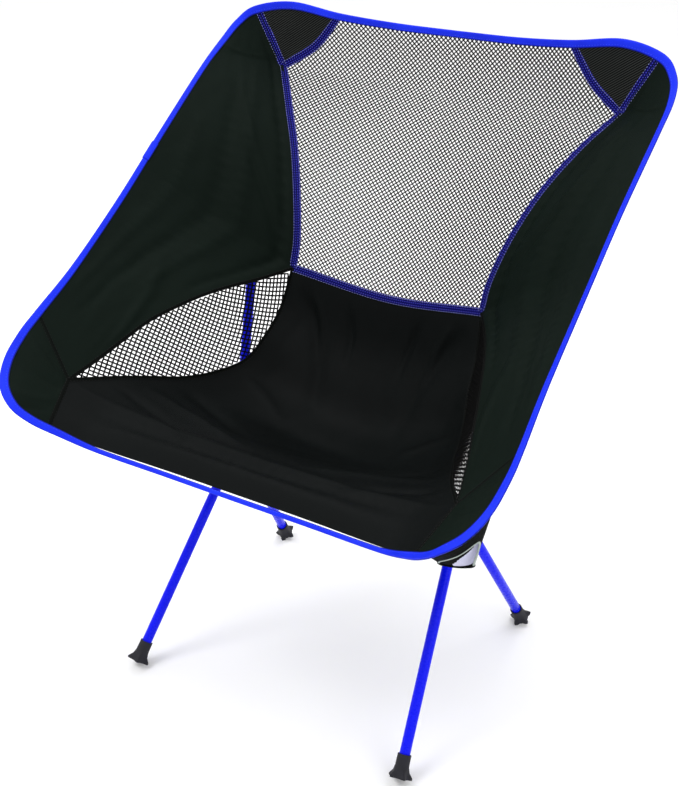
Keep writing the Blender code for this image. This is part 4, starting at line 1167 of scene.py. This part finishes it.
def cornerLine(sign):                               # where the front pocket is sewn, behind the binding
    before, after = pockets["cornerSpan"]
    t = np.linspace(mark["corner"] + before, mark["corner"] + after, 33)
    steps = np.linspace(0, 1, binding["loopSteps"] + 1)
    into = np.stack([np.interp(t, steps, edgeInto[:binding["loopSteps"] + 1, k]) for k in range(3)], -1)
    line = rail.at(t) + into * pockets["cornerIn"]
    return Seam(line * (flipX if sign < 0 else 1), smooth=False)


def makeFrontPocket(side, sign):                    # a sewn flap pocket that hangs from the corner
    turned = flipX if sign < 0 else np.ones(3)
    corner = cornerLine(sign)
    tip, back = poleEnd("seat", side)
    middle = tip + np.array(pockets["mouthAt"]) * turned
    wide, deep = np.array(pockets["mouthWide"]) * turned, np.array(pockets["mouthDeep"]) * turned
    around = np.linspace(0, 2 * math.pi, pockets["around"], endpoint=False)
    c, s = np.cos(around)[:, None], np.sin(around)[:, None]
    seam = corner.at((1 - np.cos(around)) / 2)
    away = units(tip - heart)
    lean = ((1 + c) / 2) ** 1.5                     # the near lip is cut away towards the outside
    rows = []
    for w in np.linspace(0, 1, pockets["rows"]):
        reach = w * (1 - pockets["nearCut"] * np.clip(s, 0, 1) ** 0.5 * (0.05 + 0.95 * lean))
        spread = reach ** 0.55
        pucker = 1 + 0.03 * np.sin(around * 6)[:, None] * (1 - w)
        rows.append((1 - reach) * seam + reach * (middle + c * wide)
                    + s * (away * 0.0012 * (1 - spread) + deep * spread) * pucker)
    grid = np.array(rows)
    normals = gridNormals(np.concatenate([grid[:, -1:], grid, grid[:, :1]], axis=1), 1)[:, 1:-1]
    core = grid.mean(1, keepdims=True)
    normals = normals * np.sign((normals * (grid - core)).sum(-1, keepdims=True))
    quadMiddle = (grid[:-1] + grid[1:] + np.roll(grid, -1, axis=1)[:-1] + np.roll(grid, -1, axis=1)[1:]) / 4
    run = (quadMiddle - tip) @ back
    off = np.linalg.norm(quadMiddle - tip - run[..., None] * back, axis=-1)
    keep = (off > pockets["slotRound"]) | (run < 0.004)
    piece = shell(f"front_pocket_sleeve_{side}", grid, normals, pockets["wall"], "pocket_cloth", True, keep)
    lineSleeve(piece, int(keep.sum()))
    settle(piece, "pocket_cloth", f"front_pocket_{side}")
    half = pockets["around"] // 2
    makeRoundHem(f"near_piping_{side}", grid[-1, :half + 1], pockets["pipingR"], "pale_piping")
    farRing = np.vstack([grid[-1, half:], grid[-1, :1]])
    makeRoundHem(f"far_hem_{side}", farRing, pockets["hemR"], "pocket_cloth")


def makeRoundHem(name, line, radius, finish, sections=8):
    ahead = units(np.gradient(line, axis=0))
    first = units(np.cross(ahead, np.array([0.0, 0.0, 1.0])))
    second = np.cross(ahead, first)
    turn = np.linspace(0, 2 * math.pi, sections, endpoint=False)
    points = [p + radius * (a * math.cos(t) + b * math.sin(t))
              for p, a, b in zip(line, first, second) for t in turn]
    faces = []
    for r in range(len(line) - 1):
        for k in range(sections):
            a, b = r * sections + k, r * sections + (k + 1) % sections
            faces.append((a, b, b + sections, a + sections))
    faces.append(tuple(range(sections)))
    faces.append(tuple((len(line) - 1) * sections + k for k in reversed(range(sections))))
    uvs = [(k * 0.001, r * 0.001) for r in range(len(line)) for k in range(sections)]
    settle(newPiece(name, points, faces, finish, uvs), "pocket_cloth")


for side, sign in sides.items():
    makeFrontPocket(side, sign)
    makeTopPocket(side)
print("pockets sewn")
